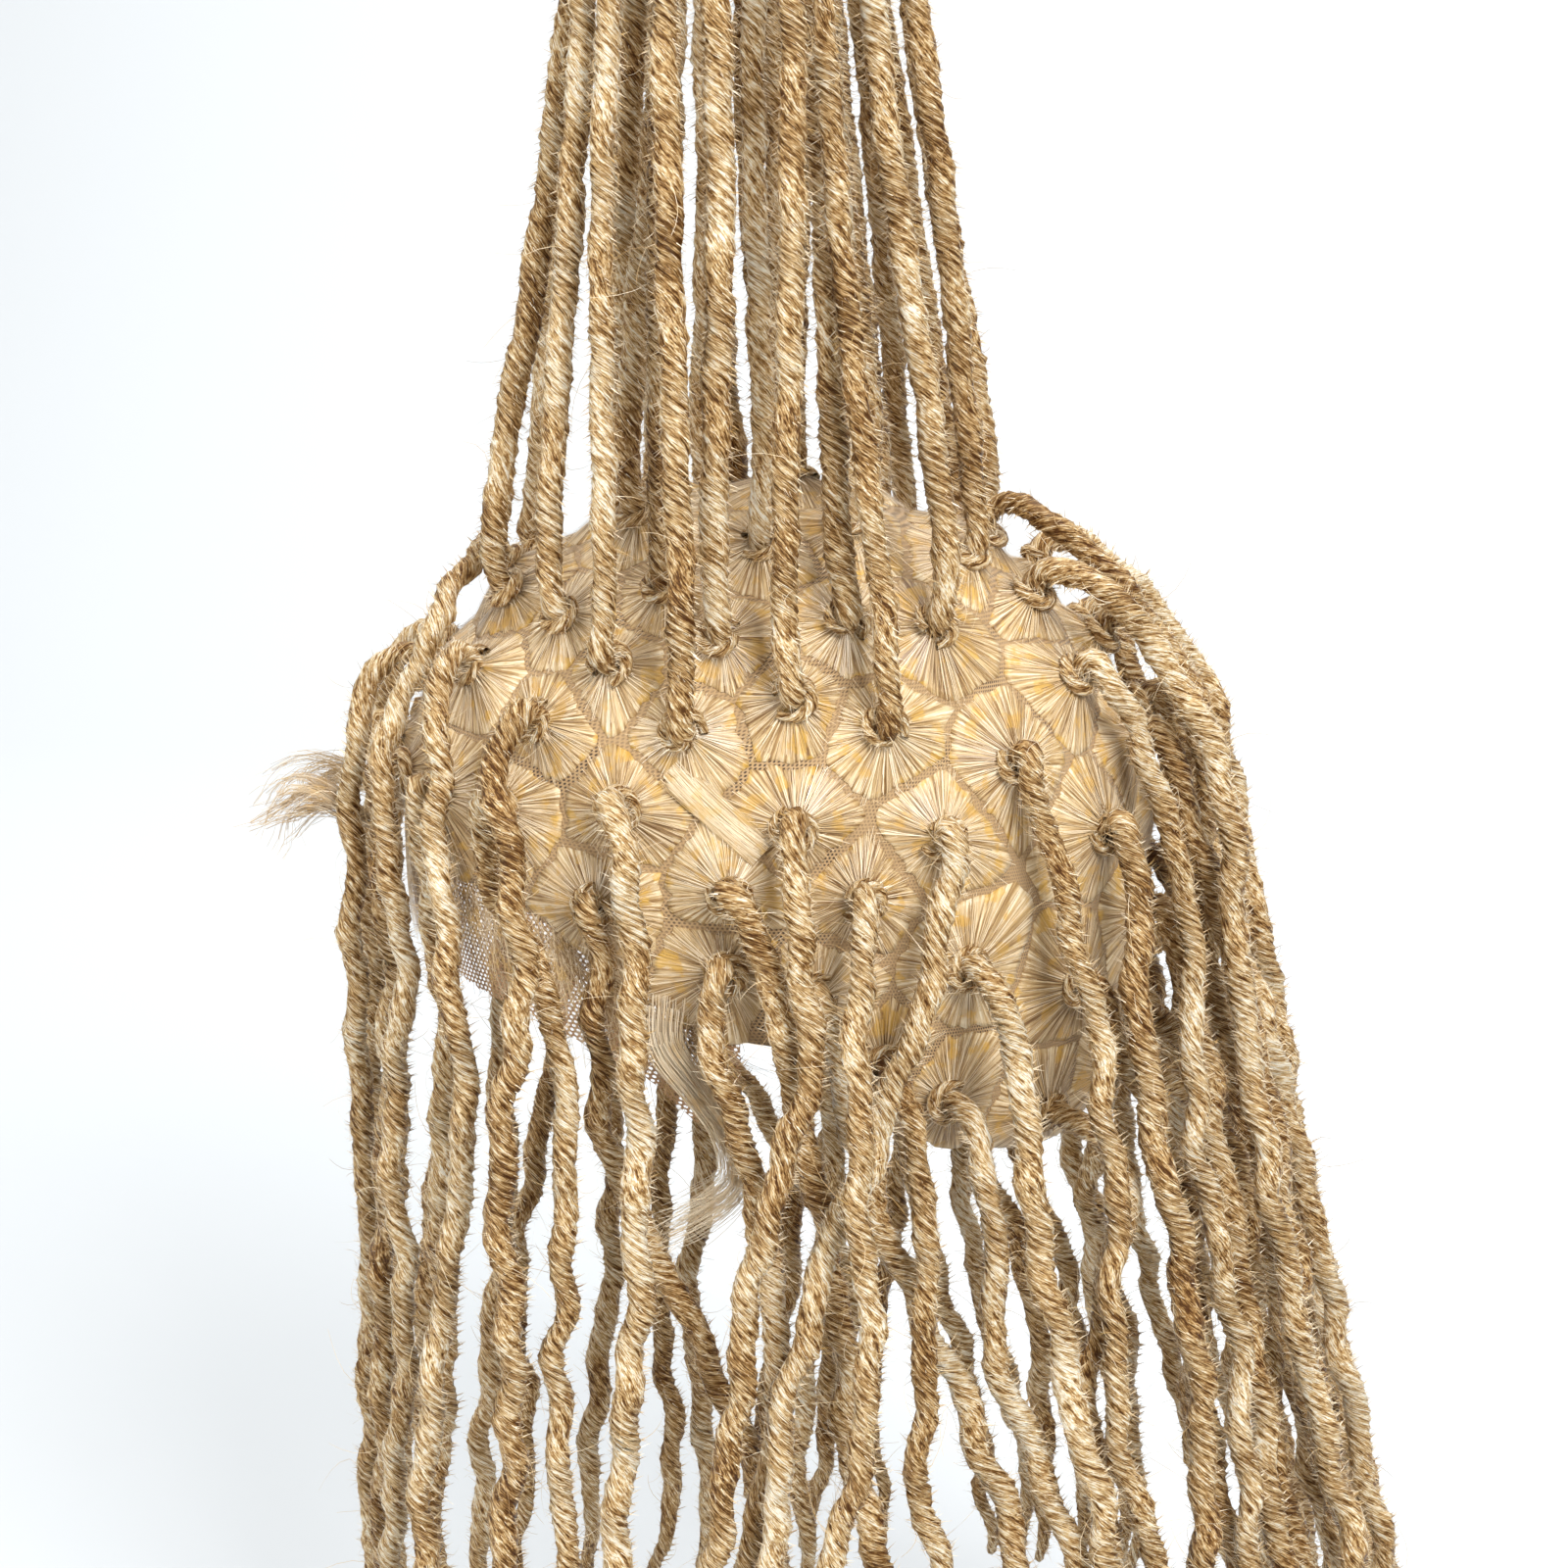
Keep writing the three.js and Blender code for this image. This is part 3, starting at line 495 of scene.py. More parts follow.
# How far a pad reaches each way: midway to its neighbours, or to the hairline
def padReach(index, ways):
    high = padLook["meetingHeight"]
    here = feet[index] + outs[index] * high
    there = np.delete(feet + outs * high, index, axis=0)
    there = there[np.linalg.norm(there - here, axis=1) < 3 * padLook["limit"]]
    normals = unit(there - here)
    reaches = np.linalg.norm(there - here, axis=1) / 2 - padLook["parting"] / 2
    azimuth = azimuthOf(feet[index])
    for side in (-1, 1):
        ends = np.array([azimuth, azimuth + 12 * side])
        near, far = formPoint(ends, edgeAt(ends, "hair"), np.full(2, high))
        outward = formGap(near[None])[1][0]
        normal = unit(np.cross(far - near, outward))
        normal = -normal if normal[2] > 0 else normal
        normals = np.vstack([normals, normal])
        reaches = np.append(reaches, (near - here) @ normal)
    slope = ways @ normals.T
    spans = np.where(slope > 1e-3, reaches / np.maximum(slope, 1e-3), np.inf).min(axis=1)
    spans = np.minimum(spans, padLook["limit"])
    return np.minimum(spans, padLook["evenness"] * spans.mean())


# Height of a pad's hair over the head form, from the root at 0 to the rim at 1
def padRise(share):
    return padLook["rimOffset"] + (padLook["crownOffset"] - padLook["rimOffset"]) * (1 - share) ** 1.25


def tangentFrame(out):
    east = unit(np.array([-out[1], out[0], 1e-6]))
    return east, np.cross(out, east)


def addPad(gathered, index):
    loc = locs[index]
    count = padLook["directions"]
    angles = 2 * np.pi * np.arange(count) / count
    east, up = tangentFrame(loc["out"])
    ways = np.cos(angles)[:, None] * east + np.sin(angles)[:, None] * up
    reach = padReach(index, ways)
    scallop = dice.normal(-0.6, 0.5, count)
    height = 0.55 * dice.random(count)
    rows, strand, tones = [], [], []
    base = 0.03 * math.sin(index * 2.7)
    for share in padLook["rings"]:
        span = (reach + scallop * share**2) * share
        offset = padRise(share) + height * 4 * share * (1 - share) * 0.8
        rows.append(ontoForm(loc["foot"] + ways * span[:, None], offset))
        strand.append(np.stack([9 * np.cos(angles) + index * 31, 9 * np.sin(angles),
                                np.full(count, 14 * share)], axis=1))
        # painted shade towards the root, under the knot and the loc
        tones.append(np.full(count, base - 0.16 * (1 - share) ** 3 + 0.02 * share))
    skirt = ontoForm(rows[-1], np.full(count, 1.0))
    rows.append(skirt)
    strand.append(strand[-1])
    tones.append(np.full(count, -0.03))
    faces = gridFaces(len(rows), count, True)
    gathered.add(np.concatenate(rows), faces, np.concatenate(strand), np.concatenate(tones), combed)
    addPadFibres(gathered, index, east, up, base)


# Single fibres laid over the pad, from the parting to the root
def addPadFibres(gathered, index, east, up, base):
    loc = locs[index]
    count, steps = padLook["fibres"], 4
    angles = 2 * np.pi * (np.arange(count) + dice.random(count)) / count
    ways = np.cos(angles)[:, None] * east + np.sin(angles)[:, None] * up
    tuft = np.round(angles * padLook["tufts"] / (2 * np.pi)).astype(int) % padLook["tufts"]
    tuftReach = dice.random(padLook["tufts"])[tuft]
    reach = padReach(index, ways) * (0.86 + 0.16 * tuftReach + dice.uniform(-0.2, 0.08, count))
    apart = (tuft * 2 * np.pi / padLook["tufts"] - angles + np.pi) % (2 * np.pi) - np.pi
    start = dice.uniform(0.1, 0.4, count)
    lift = dice.uniform(0.25, 1.1, count)
    sideways = np.cross(loc["out"], ways) * (0.35 * apart * reach + dice.normal(0, 0.7, count))[:, None]
    edges = []
    for k in range(steps):
        share = start + (1 - start) * k / (steps - 1)
        middle = loc["foot"] + ways * (reach * share)[:, None] + sideways * (share * share)[:, None]
        middle = ontoForm(middle, padRise(share) + lift)
        half = padLook["fibreWidth"] / 2 * (1.25 - 0.75 * abs(2 * share - 1.1))[:, None]
        across = unit(np.cross(loc["out"], ways)) * half
        edges.append(np.stack([middle - across, middle + across], axis=1))
    points = np.stack(edges, axis=1)
    faces = ribbonFaces(count, steps)
    tones = np.repeat(base - 0.06 + 0.1 * tuftReach + dice.uniform(-0.26, 0.34, count), steps * 2)
    gathered.add(points, faces, np.zeros(3), tones, loose)


# Faces of many ribbons, each a row of steps with two points a step
def ribbonFaces(count, steps):
    starts = (np.arange(count) * steps * 2)[:, None] + 2 * np.arange(steps - 1)[None]
    a = starts.ravel()
    return np.stack([a, a + 1, a + 3, a + 2], axis=1)


# Locs: fibre wrapped round a core

locLook = {
    "radius": 3.2,
    "sides": 12,
    "wraps": 6,  # bands of fibre beside each other
    "pitch": 17.5,  # mm for one turn, down to the right on every loc
    "step": 1.75,
    "sway": 1.15,  # mm, small waves of a hanging loc
    "tipLength": 46,
    "tipShare": 0.45,
    "endsPerMillimetre": 7.5,
    "frizzPerMillimetre": 0.18,
    "bendPulledIn": 2.0,
}


def smoothPath(points, step):
    ends = np.vstack([2 * points[0] - points[1], points, 2 * points[-1] - points[-2]])
    pieces = []
    for i in range(1, len(ends) - 2):
        p = ends[i - 1 : i + 3]
        gaps = np.sqrt(np.maximum(1e-6, np.linalg.norm(np.diff(p, axis=0), axis=1)))
        t0, t1, t2, t3 = 0, gaps[0], gaps[0] + gaps[1], gaps.sum()
        t = np.linspace(t1, t2, 40, endpoint=False)[:, None]
        a = [
            (t1 - t) / (t1 - t0) * p[0] + (t - t0) / (t1 - t0) * p[1],
            (t2 - t) / (t2 - t1) * p[1] + (t - t1) / (t2 - t1) * p[2],
            (t3 - t) / (t3 - t2) * p[2] + (t - t2) / (t3 - t2) * p[3],
        ]
        b = [
            (t2 - t) / (t2 - t0) * a[0] + (t - t0) / (t2 - t0) * a[1],
            (t3 - t) / (t3 - t1) * a[1] + (t - t1) / (t3 - t1) * a[2],
        ]
        pieces.append((t2 - t) / (t2 - t1) * b[0] + (t - t1) / (t2 - t1) * b[1])
    fine = np.vstack([*pieces, points[-1]])
    travelled = np.concatenate([[0], np.cumsum(np.linalg.norm(np.diff(fine, axis=0), axis=1))])
    count = max(3, round(travelled[-1] / step))
    places = np.linspace(0, travelled[-1], count + 1)
    return np.stack([np.interp(places, travelled, fine[:, k]) for k in range(3)], axis=1), places


# Directions along, sideways and upwards at each point of a path, without twist
def carriedFrames(path):
    along = unit(np.gradient(path, axis=0))
    side = np.cross(along[0], [0.3, 0.9, 0.2])
    sides = []
    for way in along:
        side = unit(side - way * (side @ way))
        sides.append(side)
    sides = np.array(sides)
    return along, sides, np.cross(along, sides)


def slowNoise(places, periods, sizes):
    total = np.zeros(len(places))
    for period, size in zip(periods, sizes):
        turns = places / (period * dice.uniform(0.8, 1.25))
        total += size * np.sin(2 * np.pi * turns + dice.uniform(0, 6.3))
    return total


def addLoc(gathered, index):
    loc = locs[index]
    line = loc["line"].copy()
    line[0] = line[0] - loc["out"] * (0 if loc["lifted"] else locLook["bendPulledIn"])
    start = loc["foot"] + loc["out"] * 2.6
    path, places = smoothPath(np.vstack([start, line]), locLook["step"])
    along, sides, ups = carriedFrames(path)
    length = places[-1]
    sway = locLook["sway"] * (0.3 if loc["lifted"] else 1)
    settled = np.clip(places / 18 - 0.3, 0, 1)[:, None] * sway
    path = path + settled * (slowNoise(places, [19, 33], [0.45, 0.75])[:, None] * sides
                             + slowNoise(places, [22, 37], [0.45, 0.75])[:, None] * ups)
    count = locLook["sides"]
    turn = 2 * np.pi * (places + slowNoise(places, [31, 55], [1.6, 2.5])) / locLook["pitch"]
    own = 2 * np.pi * np.arange(count) / count
    angles = own[None] - turn[:, None]
    size = 1 + slowNoise(places, [7, 13, 29], [0.04, 0.045, 0.04]) - 0.14 * np.exp(-places / 9)
    fade = np.clip((length - places) / locLook["tipLength"], 0, 1)
    size = size * (locLook["tipShare"] + (1 - locLook["tipShare"]) * fade)
    slim = 1 + 0.08 * math.sin(index * 2.6)
    band = np.arange(count) % (count // locLook["wraps"])
    profile = np.array([-0.08, 0.06])[band]
    depth = 0.3 + 1.4 * dice.random((len(places), count))
    radii = locLook["radius"] * slim * size[:, None] * (1 + profile[None] * depth)
    radii = radii + dice.normal(0, 0.14, radii.shape)
    outward = np.cos(angles)[..., None] * sides[:, None] + np.sin(angles)[..., None] * ups[:, None]
    points = path[:, None] + outward * radii[..., None]
    strand = np.stack([locLook["radius"] * np.cos(own)[None] + 0 * radii,
                       locLook["radius"] * np.sin(own)[None] + 0 * radii,
                       places[:, None] + index * 57 + 0 * radii], axis=-1)
    base = 0.03 * math.sin(index * 1.9) + slowNoise(places, [30, 80], [0.02, 0.025])
    # painted shade in the valleys between the wraps and a slight painted highlight on their crests,
    # stronger where the valley is deeper
    tone = base[:, None] + np.where(band == 0, -0.06, 0.03)[None] * depth
    tone = tone + dice.normal(0, 0.025, depth.shape)
    # painted shade at the root, where the loc comes out from under the knot and the pad
    tone = tone - 0.06 * np.exp(-places / 5)[:, None]
    rows = len(places)
    faces = gridFaces(rows, count, True)
    gathered.add(points, faces, strand.reshape(-1, 3), tone.ravel(), wrapped)
    tip = path[-1] + along[-1] * 1.5
    fan = np.array([[k, (k + 1) % count, count] for k in range(count)])
    fanStrand = np.vstack([strand[-1], strand[-1][:1]])
    gathered.add(np.vstack([points[-1], tip]), fan, fanStrand, tone[-1].mean(), wrapped)
    addFibreEnds(gathered, points, outward, along, places, tone)
    addFrizz(gathered, points, outward, along, places)


# Way of the fibre at a point of a wrap: along the loc and round it
def fibreWays(outward, along):
    slope = 2 * np.pi * locLook["radius"] / locLook["pitch"]
    return unit(along - slope * np.cross(along, outward))


# Random spots on a wrapped tube, most of them on its ridges
def pick(points, outward, along, places, perMillimetre):
    count = int(places[-1] * perMillimetre)
    rows = dice.integers(3, len(places) - 1, count)
    columns = dice.integers(0, points.shape[1], count)
    ridge = np.minimum(columns | 1, points.shape[1] - 1)
    columns = np.where(dice.random(count) < 0.7, ridge, columns)
    share = dice.random((count, 1))
    base = points[rows, columns] * (1 - share) + points[rows - 1, columns] * share
    return base, outward[rows, columns], along[rows], rows, columns


# Short cut ends that lift off the wrap and make its outline rough
def addFibreEnds(gathered, points, outward, along, places, tone):
    often = locLook["endsPerMillimetre"]
    base, out, forward, rows, columns = pick(points, outward, along, places, often)
    count = len(base)
    way = fibreWays(out, forward) * np.where(dice.random(count) < 0.7, -1, 1)[:, None]
    across = np.cross(out, way) * dice.uniform(0.07, 0.15, count)[:, None]
    lift = dice.uniform(0.25, 1.1, count)[:, None]
    long = dice.uniform(1.2, 3.4, count)[:, None]
    tip = base + (way * np.cos(lift) + out * np.sin(lift)) * long
    low = base - out * 0.15
    corners = np.stack([low - across, low + across, tip], axis=1)
    faces = np.arange(count * 3).reshape(-1, 3)
    # the ends are painted lighter on the whole than the wrap under them, as glints, with a random spread
    # of tone
    shade = np.repeat(tone[rows, columns] + dice.uniform(-0.3, 0.48, count), 3)
    gathered.add(corners, faces, np.zeros(3), shade, loose)


# Long fine flyaway hairs
def addFrizz(gathered, points, outward, along, places):
    often = locLook["frizzPerMillimetre"]
    base, out, forward, rows, columns = pick(points, outward, along, places, often)
    count, steps = len(base), 6
    way = unit(fibreWays(out, forward) * dice.choice([-1, 1], count)[:, None] + out * 0.45
               + dice.normal(0, 0.25, (count, 3)))
    curl = np.cross(way, dice.normal(0, 1, (count, 3))) * 0.42
    stride = (1.1 + 3.2 * dice.random(count) ** 2)[:, None]
    here = base
    edges = []
    for k in range(steps):
        across = unit(np.cross(way, out + 0.3)) * (0.065 * (1 - 0.6 * k / steps))
        edges.append(np.stack([here - across, here + across], axis=1))
        here = here + way * stride
        way = unit(way + curl - 0.12 * out)
    faces = ribbonFaces(count, steps)
    shade = np.repeat(dice.uniform(-0.2, 0.3, count), steps * 2)
    gathered.add(np.stack(edges, axis=1), faces, np.zeros(3), shade, loose)


# The knot at the root: a small roll of hair laid round the foot of the loc
knotLook = {"ring": 4.2, "radius": 1.9, "offset": 6.2, "turn": 5.4, "sides": 9, "step": 1.5}


def addKnot(gathered, index):
    loc = locs[index]
    east, up = tangentFrame(loc["out"])
    begin = dice.uniform(0, 6.3)
    angles = begin + np.linspace(0, knotLook["turn"], 12)
    ring = knotLook["ring"] + np.linspace(0.9, -0.5, 12)
    height = knotLook["offset"] - 1.3 + np.linspace(0, 2.2, 12)
    around = np.cos(angles)[:, None] * east + np.sin(angles)[:, None] * up
    line = loc["foot"] + around * ring[:, None] + height[:, None] * loc["out"]
    path, places = smoothPath(line, knotLook["step"])
    along, sides, ups = carriedFrames(path)
    count = knotLook["sides"]
    own = 2 * np.pi * np.arange(count) / count
    turned = own[None] - (2 * np.pi * places / 15)[:, None]
    outward = np.cos(turned)[..., None] * sides[:, None] + np.sin(turned)[..., None] * ups[:, None]
    taper = np.sin(np.pi * np.clip(places / places[-1], 0.08, 0.92))[:, None] ** 0.4
    radii = knotLook["radius"] * taper * (1 + np.where(np.arange(count) % 3 == 0, -0.14, 0.04))[None]
    points = path[:, None] + outward * radii[..., None]
    strand = np.stack([2 * np.cos(own)[None] + 0 * radii, 2 * np.sin(own)[None] + 0 * radii,
                       places[:, None] + index * 23 + 0 * radii], axis=-1)
    # painted shade in the grooves of the roll and a slight painted highlight on the rest
    tone = np.where(np.arange(count) % 3 == 0, -0.1, 0.03)[None] + 0 * radii
    faces = gridFaces(len(places), count, True)
    gathered.add(points, faces, strand.reshape(-1, 3), tone.ravel(), wrapped)
    addFibreEnds(gathered, points, outward, along, places, tone)


# A flat lock combed across the pads above the ear, paler than the rest
combedLockLook = {
    "from": (79.2, 20.4),  # azimuth and rise of its two ends
    "to": (93.6, 7.4),
    "width": 6.0,
    "fibres": 240,
    "offset": 2.6,
    "steps": 12,
    "columns": 7,
}


def addCombedLock(gathered):
    look = combedLockLook
    share = np.linspace(0, 1, look["steps"])
    azimuth, rise = (look["from"][k] + (look["to"][k] - look["from"][k]) * share for k in (0, 1))
    middle = formPoint(azimuth, rise, look["offset"])
    out = formGap(middle)[1]
    across = np.cross(unit(np.gradient(middle, axis=0)), out)
    half = look["width"] / 2 * np.sin(np.pi * (0.06 + 0.88 * share)) ** 0.6
    columns = np.linspace(-1, 1, look["columns"])
    crown = 0.5 * (1 - columns**2) - 0.8 * np.abs(columns) ** 4
    sheet = (middle[:, None] + across[:, None] * (half[:, None] * columns)[..., None]
             + out[:, None] * crown[None, :, None])
    strand = np.stack([half[:, None] * columns, 0 * half[:, None] * columns,
                       30 * share[:, None] + 0 * columns], axis=-1)
    faces = gridFaces(len(share), look["columns"], False)
    gathered.add(sheet, faces, strand.reshape(-1, 3), 0.03, combed)
    place = dice.uniform(-1.25, 1.25, look["fibres"])
    begin = dice.uniform(-0.08, 0.16, (look["fibres"], 1))
    end = dice.uniform(0.8, 1.1, (look["fibres"], 1))
    along = np.clip(begin + (end - begin) * share[None], 0, 1)
    drift = dice.normal(0, 0.8, look["fibres"])
    shift = look["width"] / 2 * place[:, None] * (0.75 + 0.25 * np.sin(np.pi * along))
    shift = shift + drift[:, None] * np.abs(2 * along - 1)
    lift = 0.4 * (1 - place**2)[:, None] + dice.uniform(0.05, 0.5, look["fibres"])[:, None] + 0 * shift
    azimuths = look["from"][0] + (look["to"][0] - look["from"][0]) * along
    rises = look["from"][1] + (look["to"][1] - look["from"][1]) * along
    line = formPoint(azimuths, rises, look["offset"] + lift) + across.mean(0) * shift[..., None]
    points = np.stack([line - across.mean(0) * 0.08, line + across.mean(0) * 0.08], axis=2)
    tones = np.repeat(dice.uniform(-0.16, 0.32, look["fibres"]), look["steps"] * 2)
    gathered.add(points, ribbonFaces(look["fibres"], look["steps"]), np.zeros(3), tones, loose)


gatheredBy = {}
for index, loc in enumerate(locs):
    gathered = gatheredBy.setdefault(loc["node"], Gathered())
    addPad(gathered, index)
    addKnot(gathered, index)
    addLoc(gathered, index)
addCombedLock(gatheredBy["loc_left_09"])
for node, gathered in gatheredBy.items():
    makePiece("wrapped_" + node, gathered, [node])
print("pads and locs made:", len(gatheredBy), "pieces")


# Cap and lace front: a sphere drawn onto the head form, cut along the hairline and walled

capLook = {"segments": 96, "rings": 64, "wall": 1.0, "frontRows": 10}


def selectFaces(piece, wanted):
    for face in piece.data.polygons:
        face.select = bool(wanted(face))


def makeCap():
    bpy.ops.object.select_all(action="DESELECT")
    middle = headForm["widestHeight"] * millimetre
    radius = headForm["halfWidth"] * millimetre
    bpy.ops.mesh.primitive_uv_sphere_add(segments=capLook["segments"], ring_count=capLook["rings"],
                                         radius=radius, location=(0, 0, middle))
    cap = bpy.context.object
    cap.name = "lace_cap_net"
    bpy.ops.object.transform_apply(location=True, rotation=True, scale=True)
    shapeCap(cap)
    bpy.ops.object.mode_set(mode="EDIT")
    bpy.ops.mesh.select_mode(type="FACE")
    bpy.ops.mesh.select_all(action="DESELECT")
    bpy.ops.object.mode_set(mode="OBJECT")
    selectFaces(cap, lambda face: face.center.z < lowestOf(face.center))
    bpy.ops.object.mode_set(mode="EDIT")
    bpy.ops.mesh.delete(type="FACE")
    bpy.ops.mesh.select_all(action="SELECT")
    bpy.ops.mesh.normals_make_consistent(inside=False)
    bpy.ops.object.mode_set(mode="OBJECT")
    bpy.ops.object.shade_smooth()
    wall = cap.modifiers.new("wall", "SOLIDIFY")
    wall.thickness = capLook["wall"] * millimetre
    wall.offset = 1
    bpy.ops.object.modifier_apply(modifier=wall.name)
    finishNet(cap, lace)
    dress(cap, ["lace_cap"])


# Height of the hairline under a point of the cap, in metres
def lowestOf(place):
    here = np.array(place) / millimetre
    azimuth = azimuthOf(here[None])[0]
    return formPoint(azimuth, edgeAt(azimuth, "hair"), 0.0)[2] * millimetre


# Each ring of the sphere is set at its own rise between the hairline and the crown
def shapeCap(cap):
    points = np.array([v.co for v in cap.data.vertices]) / millimetre
    points[:, 2] -= headForm["widestHeight"]
    azimuth = np.degrees(np.arctan2(points[:, 0], -points[:, 1]))
    rise = np.degrees(np.arcsin(np.clip(points[:, 2] / headForm["halfWidth"], -1, 1)))
    edge = edgeAt(azimuth, "hair")
    lowest = -60.0
    share = np.clip((rise - lowest) / (90 - lowest), -1, 1)
    rise = np.where(rise > lowest, edge + share * (90 - edge), rise - 45)
    shaped = formPoint(azimuth, np.clip(rise, -89, 90), np.full(len(rise), 0.1)) * millimetre
    for vertex, place in zip(cap.data.vertices, shaped):
        vertex.co = place


# The net's own flat coordinates, in mm round and up the head
def finishNet(piece, finish):
    points = np.array([v.co for v in piece.data.vertices]) / millimetre
    azimuth = np.radians(azimuthOf(points))
    round_ = azimuth * np.hypot(points[:, 0], points[:, 1])
    flat = np.stack([round_, points[:, 2], 0 * azimuth], axis=1)
    layer = piece.data.attributes.new("strand", "FLOAT_VECTOR", "POINT")
    layer.data.foreach_set("vector", flat.astype(np.float32).ravel())
    piece.data.materials.clear()
    piece.data.materials.append(finishes[finish])


# Bare lace from the hairline down to its cut edge, from ear tab to ear tab
def makeLaceFront():
    azimuths = np.linspace(-90, 90, 121)
    rows = []
    for r in range(capLook["frontRows"] + 1):
        share = r / capLook["frontRows"]
        low = edgeAt(azimuths, "lace") - 1.5 + 0.25 * np.sin(azimuths * 1.9)
        rise = low + (edgeAt(azimuths, "hair") + 0.6 - low) * share
        rows.append(formPoint(azimuths, rise, np.full(len(azimuths), 0.7)))
    points = np.concatenate(rows)
    gathered = Gathered()
    flat = np.stack([np.radians(azimuthOf(points)) * np.hypot(points[:, 0], points[:, 1]), points[:, 2],
                     0 * points[:, 2]], axis=1)
    gathered.add(points, gridFaces(len(rows), len(azimuths), False), flat, np.zeros(len(points)), sheer)
    makePiece("lace_front_net", gathered, ["lace_front"])


makeCap()
makeLaceFront()
print("lace made")


# Baby hair: fine straight hair below the hairline, and the two loose locks of each side

babyLook = {"short": 1300, "strandRadius": 0.11}
wisps = {
    "front": {
        "root": 9,
        "above": 3,
        "steps": [(1, -9, 5), (1, -9, 3), (0, -10, -2), (0, -5, -6)],
        "locks": 11,
        "strands": 220,
        "spread": (0.9, 1.2),
        "fan": 10,
        "curl": 3.8,
        "turns": 1.6,
        "tones": (-0.22, 0.25),
    },
    "temple": {
        "root": 79,
        "above": 6,
        "steps": [(2, 7, -10), (2, 8, -11), (0, 2, -11), (0, -9, -9), (1, -10, -5)],
        "locks": 9,
        "strands": 210,
        "spread": (6.5, 1.6),
        "fan": 7,
        "curl": 2.4,
        "turns": 0.9,
        "tones": (0.02, 0.5),
    },
}


def addShortHair(gathered, side):
    count, steps = babyLook["short"], 5
    azimuth = dice.uniform(4, 88, count)
    rise = edgeAt(azimuth, "hair") + dice.uniform(-2.0, 1.5, count)
    drop = 2.5 + 14 * dice.random(count) ** 1.7
    lean = dice.normal(3.0, 5.0, count)
    edges = []
    for k in range(steps):
        share = k / (steps - 1)
        turned, fallen = azimuth + lean * share**1.5, rise - drop * share
        here = formPoint(turned, fallen, np.full(count, 1.5 + 0.6 * math.sin(3 * share)))
        beside = formPoint(turned + 1, fallen, np.full(count, 1.5))
        across = unit(beside - here) * 0.1 * (1 - 0.6 * share)
        edges.append(np.stack([here - across, here + across], axis=1))
    points = np.stack(edges, axis=1) * np.array([side, 1, 1])
    faces = ribbonFaces(count, steps)
    tones = np.repeat(dice.uniform(-0.3, 0.2, count), steps * 2)
    gathered.add(points, faces, np.zeros(3), tones, loose)


# Where the curls of a wisp go: a way out, a turn and a number of turns for each
def wispLocks(wisp, count):
    ways = dice.uniform(0, 2 * np.pi, count)
    fan = wisp["fan"] * np.sqrt(dice.random(count))
    return ways, fan, dice.uniform(0, 2 * np.pi, count), wisp["turns"] * dice.uniform(0.6, 1.3, count)


# Thin three-sided strands that follow a path, part into locks and curl towards the end
def addWisp(gathered, side, wisp):
    rise = float(edgeAt(wisp["root"], "hair")) - 2.5
    start = formPoint(wisp["root"], rise, np.array(2.0))
    out = formGap(start[None])[1][0]
    line = [formPoint(wisp["root"], rise + wisp["above"], np.array(3.2)), start + out * 3]
    for step in wisp["steps"]:
        line.append(line[-1] + np.array(step, float))
    path, places = smoothPath(np.array(line), 2.9)
    along, sides, ups = carriedFrames(path)
    share = places / places[-1]
    corner = 2 * np.pi * np.arange(3) / 3
    locks = wispLocks(wisp, wisp["locks"])
    loners = wispLocks(wisp, wisp["strands"])
    for k in range(wisp["strands"]):
        source, which = (loners, k) if dice.random() < 0.2 else (locks, dice.integers(wisp["locks"]))
        way, fan, swing, turns = (values[which] for values in source)
        own, far = dice.uniform(0, 2 * np.pi), math.sqrt(dice.random())
        reach = (wisp["spread"][0] + (wisp["spread"][1] - wisp["spread"][0]) * share) * far
        angle = 2 * np.pi * turns * share + swing + dice.normal(0, 0.15)
        curl = wisp["curl"] * share ** 1.3 * dice.uniform(0.8, 1.15)
        fan = fan * share ** 1.6
        aside = ((fan * np.cos(way) + reach * np.cos(own) + curl * np.cos(angle))[:, None] * sides
                 + (fan * np.sin(way) + reach * np.sin(own) + curl * np.sin(angle))[:, None] * ups)
        flattened = 0.8 * (1 - share) * (aside @ out)
        centre = path + aside - flattened[:, None] * out
        first = int(len(places) * dice.uniform(0, 0.22))
        last = max(6, round(len(places) * dice.uniform(0.65, 1.0)))
        kept = slice(first, last)
        thick = babyLook["strandRadius"] * (1 - 0.5 * share)[kept]
        ring = (np.cos(corner)[None, :, None] * sides[kept, None]
                + np.sin(corner)[None, :, None] * ups[kept, None])
        points = centre[kept, None] + ring * thick[:, None, None]
        points = points * np.array([side, 1, 1])
        faces = gridFaces(len(thick), 3, True)
        faces = faces[:, ::-1] if side < 0 else faces
        gathered.add(points, faces, np.zeros(3), dice.uniform(*wisp["tones"]), loose)


for side, name in ((1, "baby_hair_left"), (-1, "baby_hair_right")):
    gathered = Gathered()
    addShortHair(gathered, side)
    addWisp(gathered, side, wisps["front"])
    addWisp(gathered, side, wisps["temple"])
    makePiece("fine_" + name, gathered, [name])
print("baby hair made")


# Stage: a pale sweep, soft studio lights and the camera of the photograph

stageLook = {"floorHeight": -262, "colour": "#CCD0D3", "width": 5.0, "wall": 3.0, "bend": 1.2}


